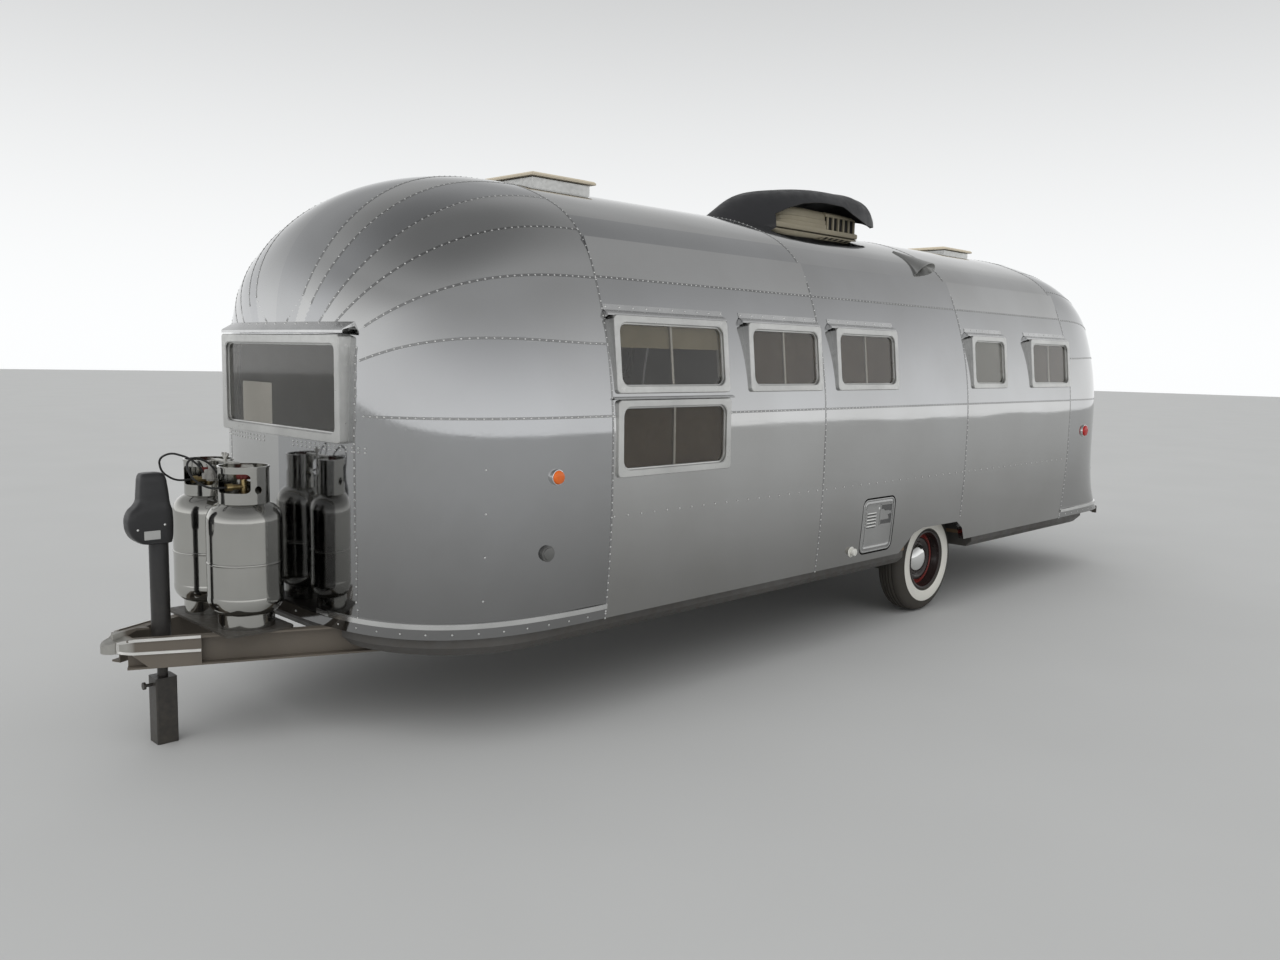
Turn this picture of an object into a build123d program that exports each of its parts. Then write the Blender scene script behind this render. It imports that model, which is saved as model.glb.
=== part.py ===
"""Riveted aluminium travel caravan on a single axle, with gas bottles and a jack on its drawbar.

Stations run rearwards from the front window's face, heights up from the ground, and
+Y is the caravan's right side, where its door is. All sizes are in millimetres.
"""
import math
import os

from build123d import *

# Body shell: a constant arch section between two domed end caps
BODY_LENGTH = 7100
CAP_DEPTH = 1044
REAR_DEPTH = 1094
HALF_WIDTH = 1118
CROWN = 2565
SILL = 490
WALL = 38
SPRING_Z = 1280
TUCK_Z = 1100
TUCK = 34
SIDE_RADIUS = 2200
SHOULDER_RATIO = 0.51
ROOF_RATIO = 1.342
EAVES_Z = 2240

# End caps: how width, foot width and height run out towards the nose
PLAN_POWER = 3.15
FRONT_FOOT_POWER = 3.15
REAR_FOOT_POWER = 6.0
NOSE_POWER = 2.3
NOSE_Z = 1800
CAP_SHARES = (0.0, 0.3, 0.55, 0.75, 0.87, 0.95, 0.985)

# Chassis
FRAME_Z = 365
RAIL_Y = 560
RAIL_WIDTH = 45
COUPLER_TIP = -790
REAR_END = 7145
JACK_STATION = -545
JACK_POST_RADIUS = 39
TANK_STATION = -248
TANK_Y = 176

# Running gear
WHEEL_STATION = 4190
WHEEL_RADIUS = 358
TYRE_FACE_Y = 960
TYRE_BORE = 190
WELL = (3730, 4650)
WELL_INNER_Y = 690
WELL_TOP = 800
ARCH_POINTS = ((3606, SILL), (3765, 606), (3870, 630), (4320, 626), (4405, 574), (4452, SILL))

# Door, on the right, and the heater hatch, on the left
DOOR = (2782, 3438)
DOOR_Z = (540, 2170)
DOOR_GAP = 14
DOOR_CORNER = 150
HINGE_Y = 1131
HATCH = (3140, 3490)
HATCH_Z = (540, 870)
HATCH_GAP = 8
HATCH_THICK = 20
HATCH_CORNER = 45

MIDDLE = (COUPLER_TIP + REAR_END) / 2


def at(station):
    """X of a station."""
    return station - MIDDLE


def front(station):
    """A distance in from the front face of the body."""
    return station


def rear(station):
    """The same distance in from the rear face of the body."""
    return BODY_LENGTH - station


def across(station):
    """Plane square to the body's length, with Y to its right and Z up."""
    return Plane.YZ.offset(at(station))


def save(part, name):
    """Label a finished piece and write it as its own file."""
    part.part.label = name
    export_step(part.part, f"parts/{name}.step")


# Arch section

def circle_meet(c1, r1, c2, r2):
    """Upper meeting point of two circles."""
    between = c2 - c1
    gap = between.length
    along = (r1**2 - r2**2 + gap**2) / (2 * gap)
    off = math.sqrt(r1**2 - along**2)
    unit = between / gap
    return c1 + unit * along + Vector(-unit.Y, unit.X) * off


def on_arc(centre, radius, a, b):
    """Middle point of the arc from a to b."""
    return centre + ((a - centre) + (b - centre)).normalized() * radius


def arch(half_width, crown, foot_width, inset=0.0):
    """Closed arch of lines and tangent arcs, drawn in by inset, with a foot that tucks in or flares."""
    shoulder = SHOULDER_RATIO * half_width
    roof = ROOF_RATIO * half_width
    side_c = Vector(half_width - SIDE_RADIUS, SPRING_Z)
    roof_c = Vector(0, crown - roof)
    shoulder_c = circle_meet(side_c, SIDE_RADIUS - shoulder, roof_c, roof - shoulder)
    foot = Vector(foot_width - inset, SILL)
    calf = Vector(half_width + (foot_width - half_width) / 4 - inset, (SILL + TUCK_Z) / 2)
    tuck = Vector(half_width - inset, TUCK_Z)
    spring = Vector(half_width - inset, SPRING_Z)
    eave = side_c + (shoulder_c - side_c).normalized() * (SIDE_RADIUS - inset)
    brow = roof_c + (shoulder_c - roof_c).normalized() * (roof - inset)
    top = Vector(0, crown - inset)
    arcs = (
        (foot, calf, tuck),
        (spring, on_arc(side_c, SIDE_RADIUS - inset, spring, eave), eave),
        (eave, on_arc(shoulder_c, shoulder - inset, eave, brow), brow),
    )

    def left(p):
        return Vector(-p.X, p.Y)

    with BuildSketch() as outline:
        with BuildLine():
            for start, mid, end in arcs:
                ThreePointArc(start, mid, end)
                ThreePointArc(left(start), left(mid), left(end))
            Line(tuck, spring)
            Line(left(tuck), left(spring))
            ThreePointArc(brow, top, left(brow))
            Line(left(foot), foot)
        make_face()
    return outline.sketch


def run_out(share, power):
    """What is left of a full size at this share of the cap's depth, 0 at its seam and 1 at its nose."""
    return (1 - share**power) ** (1 / power)


def cap_solid(inset, place):
    """Domed end cap without its hollow; place is front or rear."""
    depth, foot_power = (CAP_DEPTH, FRONT_FOOT_POWER) if place is front else (REAR_DEPTH, REAR_FOOT_POWER)
    with BuildPart() as cap:
        for share in CAP_SHARES:
            half_width = HALF_WIDTH * run_out(share, PLAN_POWER)
            crown = NOSE_Z + (CROWN - NOSE_Z) * run_out(share, NOSE_POWER)
            foot_width = (HALF_WIDTH - TUCK) * run_out(share, foot_power)
            with BuildSketch(across(place(depth - share * (depth - inset)))):
                add(arch(half_width, crown, foot_width, inset))
        loft()
    return cap.part


def middle_solid(inset):
    """Straight stretch of the body without its hollow."""
    with BuildPart() as middle:
        with BuildSketch(across(CAP_DEPTH)):
            add(arch(HALF_WIDTH, CROWN, HALF_WIDTH - TUCK, inset))
        extrude(amount=BODY_LENGTH - REAR_DEPTH - CAP_DEPTH)
    return middle.part


def skin_y(z):
    """Half width of the body's outside at a height under the eaves."""
    if z < TUCK_Z:
        return HALF_WIDTH - TUCK * ((TUCK_Z - z) / (TUCK_Z - SILL)) ** 2
    return HALF_WIDTH - SIDE_RADIUS + math.sqrt(SIDE_RADIUS**2 - max(z - SPRING_Z, 0) ** 2)


def slab(x_range, y_range, z_range, mode=Mode.ADD):
    """Box between stations, widths and heights, in the active part."""
    size = [hi - lo for lo, hi in (x_range, y_range, z_range)]
    centre = (at(sum(x_range) / 2), sum(y_range) / 2, sum(z_range) / 2)
    with Locations(centre):
        Box(*size, mode=mode)


os.makedirs("parts", exist_ok=True)
FRONT_OUT = cap_solid(0, front)
FRONT_IN = cap_solid(WALL, front)
REAR_OUT = cap_solid(0, rear)
REAR_IN = cap_solid(WALL, rear)
MIDDLE_OUT = middle_solid(0)
MIDDLE_IN = middle_solid(WALL)
MIDDLE_SHELL = MIDDLE_OUT - MIDDLE_IN

# Side windows: station from, station to, bottom, top, face lean, centre bar
LEAN = math.degrees(math.atan(38 / 355))
LEFT_WINDOWS = (
    (1070, 1860, 1529, 1884, LEAN, True),
    (1070, 1860, 1145, 1500, 1.0, True),
    (2030, 2670, 1529, 1884, LEAN, True),
    (2820, 3470, 1529, 1884, LEAN, True),
    (4420, 4920, 1529, 1884, LEAN, False),
    (5315, 5985, 1529, 1884, LEAN, True),
)
RIGHT_WINDOWS = (LEFT_WINDOWS[0], LEFT_WINDOWS[2], LEFT_WINDOWS[4], LEFT_WINDOWS[5])
DOOR_WINDOW = (2900, 3320, 1529, 1884, LEAN, False)
FRAME_PROUD = 14
FRAME_FACE = 34
FRAME_DEPTH = 50
FRAME_CORNER = 40
HOLE_INSET = 16
GLASS_INSET = 20
GLASS_THICK = 5


def window_plane(row, side):
    """Plane of a side window's outer face, centred on it; side is -1 left or +1 right."""
    x0, x1, z0, z1, lean, _ = row
    tilt = math.radians(lean)
    y0 = skin_y(z0) + FRAME_PROUD
    rise = (z1 - z0) / 2
    origin = (at((x0 + x1) / 2), side * (y0 - rise * math.tan(tilt)), z0 + rise)
    return Plane(origin=origin, x_dir=(-side, 0, 0), z_dir=(0, side * math.cos(tilt), math.sin(tilt)))


def window_size(row):
    """Width and slant height of a side window's frame."""
    return row[1] - row[0], (row[3] - row[2]) / math.cos(math.radians(row[4]))


def window_holes(rows, side):
    """Solids to cut out of the wall for its windows."""
    with BuildPart() as holes:
        for row in rows:
            width, height = window_size(row)
            with BuildSketch(window_plane(row, side)):
                RectangleRounded(width - 2 * HOLE_INSET, height - 2 * HOLE_INSET, FRAME_CORNER - HOLE_INSET)
            extrude(amount=2 * FRAME_DEPTH, both=True)
    return holes.part


def window_frames(rows, side):
    """Window frames, with a centre bar where the row has one."""
    with BuildPart() as frames:
        for row in rows:
            width, height = window_size(row)
            face = window_plane(row, side)
            with BuildSketch(face):
                RectangleRounded(width, height, FRAME_CORNER)
                RectangleRounded(width - 2 * FRAME_FACE, height - 2 * FRAME_FACE, 8, mode=Mode.SUBTRACT)
            extrude(amount=-FRAME_DEPTH)
            if row[5]:
                with BuildSketch(face.offset(-6)):
                    Rectangle(16, height - 2 * FRAME_FACE)
                extrude(amount=-(GLASS_INSET - 6))
    return frames.part


def window_panes(rows, side):
    """Panes that fill the frames."""
    with BuildPart() as panes:
        for row in rows:
            width, height = window_size(row)
            with BuildSketch(window_plane(row, side).offset(-GLASS_INSET)):
                RectangleRounded(width - 2 * FRAME_FACE, height - 2 * FRAME_FACE, 8)
            extrude(amount=-GLASS_THICK)
    return panes.part


def side_block(x_range, z_range, corner, side):
    """Block with a rounded outline that reaches from the middle plane out through one side wall."""
    with BuildPart() as block:
        with BuildSketch(Plane.XZ):
            with Locations((at(sum(x_range) / 2), sum(z_range) / 2)):
                RectangleRounded(x_range[1] - x_range[0], z_range[1] - z_range[0], corner)
        extrude(amount=-side * (HALF_WIDTH + 10))
    return block.part


def grown(span, gap):
    """A span with a gap added at both ends."""
    return span[0] - gap, span[1] + gap


def wall(side):
    """One side wall up to the eaves, with its windows and wheel arch."""
    with BuildPart() as panel:
        add(MIDDLE_SHELL)
        edge = side * (HALF_WIDTH + 10)
        y_range = (0, edge) if side > 0 else (edge, 0)
        slab((0, BODY_LENGTH), y_range, (0, EAVES_Z), mode=Mode.INTERSECT)
        add(window_holes(LEFT_WINDOWS if side < 0 else RIGHT_WINDOWS, side), mode=Mode.SUBTRACT)
        with BuildSketch(Plane.XZ):
            with BuildLine():
                Polyline([(at(x), z - (1 if z == SILL else 0)) for x, z in ARCH_POINTS], close=True)
            make_face()
        extrude(amount=-side * (HALF_WIDTH + 10), mode=Mode.SUBTRACT)
    return panel.part


# Left wall, with the hole for the heater hatch
LEFT_WALL = wall(-1)
with BuildPart() as left_wall:
    add(LEFT_WALL)
    gap = HATCH_GAP
    add(side_block(grown(HATCH, gap), grown(HATCH_Z, gap), HATCH_CORNER + gap, -1), mode=Mode.SUBTRACT)
save(left_wall, "left_wall")

# Right wall, with the doorway
RIGHT_WALL = wall(1)
with BuildPart() as right_wall:
    add(RIGHT_WALL)
    gap = DOOR_GAP
    add(side_block(grown(DOOR, gap), grown(DOOR_Z, gap), DOOR_CORNER + gap, 1), mode=Mode.SUBTRACT)
save(right_wall, "right_wall")

with BuildPart() as roof:
    add(MIDDLE_SHELL)
    slab((0, BODY_LENGTH), (-HALF_WIDTH, HALF_WIDTH), (EAVES_Z, CROWN + 10), mode=Mode.INTERSECT)
save(roof, "roof")

# End window, the same in both caps: half width, bottom and top
END_HALF = 558
END_Z = (1305, 1762)
END_FACE = 34
END_REACH = 150
END_CORNER = 12


def end_box(grow, x_from, x_to):
    """Stretch of an end window's outline between two stations, grown all round."""
    with BuildPart() as box:
        with BuildSketch(across(x_from)):
            with Locations((0, sum(END_Z) / 2)):
                RectangleRounded(2 * (END_HALF + grow), END_Z[1] - END_Z[0] + 2 * grow, END_CORNER)
        extrude(amount=x_to - x_from)
    return box.part


def end_cap(outside, inside, place):
    """Domed end with its window hole."""
    with BuildPart() as cap:
        add(outside)
        add(inside, mode=Mode.SUBTRACT)
        add(end_box(-HOLE_INSET, place(-40), place(300)), mode=Mode.SUBTRACT)
    return cap


def end_frame(cap, inside, place):
    """Box frame that stands on the domed end, round its window."""
    with BuildPart() as frame:
        add(end_box(0, place(-8), place(END_REACH)))
        add(end_box(-END_FACE, place(-40), place(END_REACH + 40)), mode=Mode.SUBTRACT)
        add(cap, mode=Mode.SUBTRACT)
        add(inside, mode=Mode.SUBTRACT)
    return frame


front_cap = end_cap(FRONT_OUT, FRONT_IN, front)
save(front_cap, "front_cap")
rear_cap = end_cap(REAR_OUT, REAR_IN, rear)
save(rear_cap, "rear_cap")
save(end_frame(front_cap.part, FRONT_IN, front), "front_window_frame")
save(end_frame(rear_cap.part, REAR_IN, rear), "rear_window_frame")

with BuildPart() as end_glass:
    for place in (front, rear):
        add(end_box(-END_FACE, place(12), place(12 + GLASS_THICK)))
save(end_glass, "end_window_glass")

with BuildPart() as side_frames:
    add(window_frames(LEFT_WINDOWS, -1))
    add(LEFT_WALL, mode=Mode.SUBTRACT)
save(side_frames, "left_window_frames")

with BuildPart() as right_frames:
    add(window_frames(RIGHT_WINDOWS, 1))
    add(RIGHT_WALL, mode=Mode.SUBTRACT)
save(right_frames, "right_window_frames")

with BuildPart() as side_glass:
    add(window_panes(LEFT_WINDOWS, -1))
    add(window_panes(RIGHT_WINDOWS, 1))
save(side_glass, "side_window_glass")

# Entry door, cut from the wall's own form, with its window and hardware
with BuildPart() as door:
    add(side_block(DOOR, DOOR_Z, DOOR_CORNER, 1))
    add(MIDDLE_SHELL, mode=Mode.INTERSECT)
    add(window_holes((DOOR_WINDOW,), 1), mode=Mode.SUBTRACT)
save(door, "entry_door")

with BuildPart() as door_frame:
    add(window_frames((DOOR_WINDOW,), 1))
    add(door.part, mode=Mode.SUBTRACT)
save(door_frame, "door_window_frame")

with BuildPart() as door_glass:
    add(window_panes((DOOR_WINDOW,), 1))
save(door_glass, "door_window_glass")

# Door hinges: a barrel on the wall below one on the door, on one upright line
HINGE_STATION = DOOR[0] - DOOR_GAP / 2
HINGE_HEIGHTS = (700, 1080, 1440)
BARREL = 8
BARREL_LENGTH = 36


def hinge_halves(sign, lift):
    """Barrels and leaves of one half; sign -1 reaches the wall and +1 the door."""
    leaf = 46
    with BuildPart() as halves:
        for z in HINGE_HEIGHTS:
            with BuildSketch(Plane.XY.offset(z + lift)):
                with Locations((at(HINGE_STATION), HINGE_Y)):
                    Circle(BARREL)
                with Locations((at(HINGE_STATION + sign * leaf / 2), HINGE_Y - 12)):
                    Rectangle(leaf, 24)
            extrude(amount=BARREL_LENGTH)
    return halves.part


with BuildPart() as wall_hinges:
    add(hinge_halves(-1, 0))
    add(RIGHT_WALL, mode=Mode.SUBTRACT)
save(wall_hinges, "door_hinges")

with BuildPart() as door_hardware:
    add(hinge_halves(1, BARREL_LENGTH + 1))
    with BuildSketch(Plane.XZ.offset(-(HALF_WIDTH - 4))):
        with Locations((at(DOOR[1] - 62), 1130)):
            RectangleRounded(44, 150, 8)
    extrude(amount=-12)
    with Locations((at(DOOR[1] - 62), HALF_WIDTH + 26, 1150)):
        Box(26, 44, 20)
    with Locations((at(DOOR[1] - 96), HALF_WIDTH + 40, 1150)):
        Box(110, 16, 22)
    add(RIGHT_WALL, mode=Mode.SUBTRACT)
save(door_hardware, "door_hardware")

# Heater hatch: a leaf with a raised rim, five louvre slots, a shallow recess and a latch
HATCH_RIM = 12
LOUVRES = (3190, 3285, (697, 717, 737, 757, 777))
RECESS = ((3328, 3468), (700, 832), 10)
LATCH = (3318, 806)
with BuildPart() as hatch:
    add(side_block(HATCH, HATCH_Z, HATCH_CORNER, -1))
    inner = side_block(grown(HATCH, -HATCH_RIM), grown(HATCH_Z, -HATCH_RIM), HATCH_CORNER - HATCH_RIM, -1)
    add(middle_solid(-3) - middle_solid(HATCH_THICK), mode=Mode.INTERSECT)
    add(inner - middle_solid(0), mode=Mode.SUBTRACT)
    for z in LOUVRES[2]:
        slab(LOUVRES[:2], (-HALF_WIDTH, -HALF_WIDTH + 60), (z - 3, z + 3), mode=Mode.SUBTRACT)
    add(side_block(RECESS[0], RECESS[1], 6, -1) - middle_solid(RECESS[2]), mode=Mode.SUBTRACT)
    with BuildSketch(Plane.XZ.offset(HALF_WIDTH - 20)):
        with Locations((at(LATCH[0]), LATCH[1])):
            Circle(9)
    extrude(amount=16)
save(hatch, "heater_hatch")

# Rub rails round both ends, one strip on each cap
RUB_Z = (538, 560)
RUB_PROUD = 9
with BuildPart() as rub_rails:
    for place in (front, rear):
        add(cap_solid(-RUB_PROUD, place))
    slab((-100, BODY_LENGTH + 100), (-HALF_WIDTH - 50, HALF_WIDTH + 50), RUB_Z, mode=Mode.INTERSECT)
    add(FRONT_OUT, mode=Mode.SUBTRACT)
    add(REAR_OUT, mode=Mode.SUBTRACT)
save(rub_rails, "rub_rails")

# Floor, and the boxes over the wheels
FLOOR_Z = (490, 515)
PAN_Z = 405
with BuildPart() as floor:
    add(FRONT_IN)
    add(MIDDLE_IN)
    add(REAR_IN)
    slab((0, BODY_LENGTH), (-HALF_WIDTH, HALF_WIDTH), FLOOR_Z, mode=Mode.INTERSECT)
    for side in (-1, 1):
        y_range = sorted((side * WELL_INNER_Y, side * HALF_WIDTH))
        slab(WELL, y_range, (0, 900), mode=Mode.SUBTRACT)
save(floor, "floor")

with BuildPart() as wheel_boxes:
    for side in (-1, 1):
        y_range = sorted((side * (WELL_INNER_Y - 12), side * HALF_WIDTH))
        slab((WELL[0] - 12, WELL[1] + 12), y_range, (FLOOR_Z[1], WELL_TOP + 12))
    add(MIDDLE_IN, mode=Mode.INTERSECT)
    for side in (-1, 1):
        y_range = sorted((side * WELL_INNER_Y, side * HALF_WIDTH))
        slab(WELL, y_range, (0, WELL_TOP), mode=Mode.SUBTRACT)
save(wheel_boxes, "wheel_boxes")

# Chassis: channel rails, drawbar rails, cross members and spring hangers
CROSS_STATIONS = (300, 1500, 2700, 3560, 4820, 5900, 6800)


def channel(start, end, side):
    """Channel rail between two plan points, open to the outside."""
    run = Vector(*end) - Vector(*start)
    length = run.length
    with BuildPart() as rail:
        for z, height, width in (
            (FRAME_Z, SILL - FRAME_Z, 6),
            (FRAME_Z, 8, RAIL_WIDTH),
            (SILL - 8, 8, RAIL_WIDTH),
        ):
            plane = Plane(origin=(at(start[0]), start[1], z), x_dir=(run.X, run.Y, 0), z_dir=(0, 0, 1))
            with BuildSketch(plane):
                with Locations((length / 2, side * width / 2)):
                    Rectangle(length, width)
            extrude(amount=height)
    return rail.part


DRAWBAR = ((-700, 46), (430, RAIL_Y))


def drawbar_slot(side):
    """Block that clears a drawbar rail's whole width through the belly pan."""
    start = Vector(at(DRAWBAR[0][0]), side * DRAWBAR[0][1])
    end = Vector(at(DRAWBAR[1][0]), side * DRAWBAR[1][1])
    run = end - start
    with BuildPart() as block:
        with BuildSketch(Plane(origin=start, x_dir=run, z_dir=(0, 0, 1))):
            with Locations((run.length / 2, side * RAIL_WIDTH / 2)):
                Rectangle(run.length + 60, RAIL_WIDTH)
        extrude(amount=SILL)
    return block.part


SPRING_HALF = 330
SPRING_EYE_Z = 342
with BuildPart() as chassis:
    for side in (-1, 1):
        start, end = ((station, side * y) for station, y in DRAWBAR)
        add(channel(start, end, side))
        add(channel((400, side * RAIL_Y), (6900, side * RAIL_Y), side))
        for end in (-1, 1):
            x = WHEEL_STATION + end * SPRING_HALF
            for y in (RAIL_Y, RAIL_Y + RAIL_WIDTH - 5):
                y_range = sorted((side * y, side * (y + 5)))
                slab((x - 18, x + 18), y_range, (SPRING_EYE_Z - 22, FRAME_Z + 1))
    for station in CROSS_STATIONS:
        slab((station - 25, station + 25), (-RAIL_Y - 1, RAIL_Y + 1), (430, SILL))
    slab((-640, -460), (-105, 105), (FRAME_Z + 20, FRAME_Z + 32))
    with BuildSketch(Plane.XY.offset(0)):
        with Locations((at(JACK_STATION), 0)):
            Circle(JACK_POST_RADIUS)
    extrude(amount=900, mode=Mode.SUBTRACT)
save(chassis, "chassis")

# Belly pan, an insulated tray that fills the frame's bays and wraps up to the walls
with BuildPart() as belly_pan:
    with BuildSketch(Plane.XY.offset(PAN_Z)):
        with Locations((at(BODY_LENGTH / 2), 0)):
            RectangleRounded(BODY_LENGTH - 120, 2 * 1040, 620)
    extrude(amount=SILL - PAN_Z)
    chamfer(belly_pan.faces().sort_by(Axis.Z)[0].edges(), 40)
    for side in (-1, 1):
        y_range = sorted((side * WELL_INNER_Y, side * HALF_WIDTH))
        slab(WELL, y_range, (0, 900), mode=Mode.SUBTRACT)
        rail_y = sorted((side * RAIL_Y, side * (RAIL_Y + RAIL_WIDTH)))
        slab((300, BODY_LENGTH), rail_y, (0, 900), mode=Mode.SUBTRACT)
        add(drawbar_slot(side), mode=Mode.SUBTRACT)
    add(chassis.part, mode=Mode.SUBTRACT)
save(belly_pan, "belly_pan")

# Coupler: a stamped nose with a downward ball socket, and side plates along the drawbar rails
BALL_RADIUS = 30
SOCKET_Z = (430, 470)
SOCKET_STATION = COUPLER_TIP + 46
PLATE_END = -460
PLATE_THICK = 6


def rail_edge(station, beyond):
    """Distance from the middle plane to a drawbar rail's outer edge, and a little beyond it."""
    (x0, y0), (x1, y1) = DRAWBAR
    return y0 + (y1 - y0) * (station - x0) / (x1 - x0) + RAIL_WIDTH + beyond


def fork(stations, beyond):
    """Plan outline between the drawbar rails' outer edges, from one station to another."""
    near, far = stations
    rows = ((near, rail_edge(near, beyond)), (far, rail_edge(far, beyond)))
    points = [(at(x), y) for x, y in rows] + [(at(x), -y) for x, y in rows[::-1]]
    with BuildSketch() as plan:
        Polygon(*points, align=None)
    return plan.sketch


with BuildPart() as coupler:
    with BuildSketch():
        with Locations((at(SOCKET_STATION), 0)):
            Circle(46)
        nose = [(SOCKET_STATION, 46), (DRAWBAR[0][0], rail_edge(DRAWBAR[0][0], PLATE_THICK))]
        Polygon(*[(at(x), y) for x, y in nose], *[(at(x), -y) for x, y in nose[::-1]], align=None)
        add(fork((DRAWBAR[0][0], PLATE_END), PLATE_THICK))
    extrude(amount=520)
    with BuildSketch():
        add(fork((DRAWBAR[0][0] + 12, PLATE_END + 10), 0))
    extrude(amount=520, mode=Mode.SUBTRACT)
    with BuildSketch(Plane.XZ.offset(-250)):
        side_view = (
            (COUPLER_TIP - 1, SOCKET_Z[0]), (COUPLER_TIP - 1, 458), (-775, SOCKET_Z[1]), (-705, 494),
            (PLATE_END, 494), (PLATE_END, 366), (-640, 366), (-704, SOCKET_Z[0]),
        )
        Polygon(*[(at(x), z) for x, z in side_view], align=None)
    extrude(amount=500, mode=Mode.INTERSECT)
    with BuildSketch(Plane.XZ.offset(-12)):
        lever = ((-745, 478), (-745, 506), (-650, 518), (-600, 512), (-600, 504), (-650, 508), (-690, 492))
        Polygon(*[(at(x), z) for x, z in lever], align=None)
    extrude(amount=24)
    with BuildSketch(Plane.XY.offset(SOCKET_Z[0] - 60)):
        with Locations((at(SOCKET_STATION), 0)):
            Circle(BALL_RADIUS)
    extrude(amount=SOCKET_Z[1] - SOCKET_Z[0] + 60, mode=Mode.SUBTRACT)
    add(chassis.part, mode=Mode.SUBTRACT)
save(coupler, "coupler")

# Gas bottles on their tray, with the clamp between them
TANK_RADIUS = 157
TANK_FOOT_Z = 500
with BuildPart() as tank_tray:
    with BuildSketch(Plane.XY.offset(SILL)):
        with Locations((at(TANK_STATION), 0)):
            RectangleRounded(300, 660, 30)
    extrude(amount=TANK_FOOT_Z - SILL)
save(tank_tray, "tank_tray")

TANK_RING_TOP = 563
TANK_SHOULDER_Z = 960
TANK_DOME_Z = 1050
TANK_TOP = 1197
COLLAR_RADIUS = 105
COLLAR_FACE = 215
HAND_HOLE = (-80.6, 1099, 17)
for name, side in (("gas_bottle_left", -1), ("gas_bottle_right", 1)):
    centre_y = side * TANK_Y
    with BuildPart() as bottle:
        with BuildSketch(across(TANK_STATION)):
            with BuildLine():
                Line((centre_y, TANK_DOME_Z), (centre_y, 548))
                Line((centre_y, 548), (centre_y + 100, 556))
                ThreePointArc((centre_y + 100, 556), (centre_y + 143, 582), (centre_y + TANK_RADIUS, 640))
                Line((centre_y + TANK_RADIUS, 640), (centre_y + TANK_RADIUS, 778))
                ThreePointArc((centre_y + TANK_RADIUS, 778), (centre_y + TANK_RADIUS + 2.5, 784),
                              (centre_y + TANK_RADIUS, 790))
                Line((centre_y + TANK_RADIUS, 790), (centre_y + TANK_RADIUS, TANK_SHOULDER_Z))
                ThreePointArc((centre_y + TANK_RADIUS, TANK_SHOULDER_Z), (centre_y + 141, 1010),
                              (centre_y + 98, 1041))
                Line((centre_y + 98, 1041), (centre_y + 24, TANK_DOME_Z))
                Line((centre_y + 24, TANK_DOME_Z), (centre_y, TANK_DOME_Z))
            make_face()
        revolve(axis=Axis((at(TANK_STATION), centre_y, 0), (0, 0, 1)))
        for low, high, outer, inner in (
            (TANK_FOOT_Z, TANK_RING_TOP, 118, 113),
            (TANK_DOME_Z - 25, TANK_TOP, COLLAR_RADIUS, COLLAR_RADIUS - 4),
            (TANK_TOP - 7, TANK_TOP, COLLAR_RADIUS + 3, COLLAR_RADIUS - 5),
        ):
            with BuildSketch(Plane.XY.offset(low)):
                with Locations((at(TANK_STATION), centre_y)):
                    Circle(outer)
                    Circle(inner, mode=Mode.SUBTRACT)
            extrude(amount=high - low)
        for turn, z, wide, high in ((COLLAR_FACE, 1128, 150, 82), (COLLAR_FACE - 180, 1140, 90, 50)):
            ray = Vector(math.cos(math.radians(turn)), math.sin(math.radians(turn)))
            middle = (at(TANK_STATION), centre_y, z)
            with BuildSketch(Plane(origin=middle, x_dir=(-ray.Y, ray.X, 0), z_dir=ray)):
                RectangleRounded(wide, high, 18)
            extrude(amount=COLLAR_RADIUS + 20, mode=Mode.SUBTRACT)
        turn, z, radius = HAND_HOLE
        ray = Vector(math.cos(math.radians(turn)), math.sin(math.radians(turn)))
        with BuildSketch(Plane(origin=(at(TANK_STATION), centre_y, z), x_dir=(-ray.Y, ray.X, 0), z_dir=ray)):
            Circle(radius)
        extrude(amount=COLLAR_RADIUS + 20, mode=Mode.SUBTRACT)
    save(bottle, name)

# Bottle valves: a body on the dome, a hand wheel, and an outlet that points forwards
OUTLET_Z = 1106
OUTLET_REACH = 78
with BuildPart() as tank_valves:
    for side in (-1, 1):
        centre = (at(TANK_STATION), side * TANK_Y)
        for low, high, radius in ((TANK_DOME_Z, 1068, 19), (1068, 1138, 13), (1138, 1162, 27)):
            with BuildSketch(Plane.XY.offset(low)):
                with Locations(centre):
                    Circle(radius)
            extrude(amount=high - low)
        for reach, radius in ((OUTLET_REACH - 26, 11), (OUTLET_REACH, 16)):
            start = 0 if radius == 11 else OUTLET_REACH - 26
            with BuildSketch(Plane(origin=(centre[0] - start, centre[1], OUTLET_Z), z_dir=(-1, 0, 0))):
                Circle(radius)
            extrude(amount=reach - start)
save(tank_valves, "tank_valves")

# Regulator in front of the clamp rod, with a hose from each bottle
REGULATOR = (TANK_STATION - 62, 1150)
with BuildPart() as regulator:
    for low, high, radius in ((1118, 1128, 22), (1128, 1150, 40), (1150, 1166, 30), (1166, 1186, 14)):
        with BuildSketch(Plane.XY.offset(low)):
            with Locations((at(REGULATOR[0]), 0)):
                Circle(radius)
        extrude(amount=high - low)
    slab((REGULATOR[0] - 14, REGULATOR[0] + 14), (-54, 54), (1129, 1147))
    slab((REGULATOR[0] + 20, TANK_STATION - 6), (-9, 9), (1132, 1146))
save(regulator, "gas_regulator")

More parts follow.
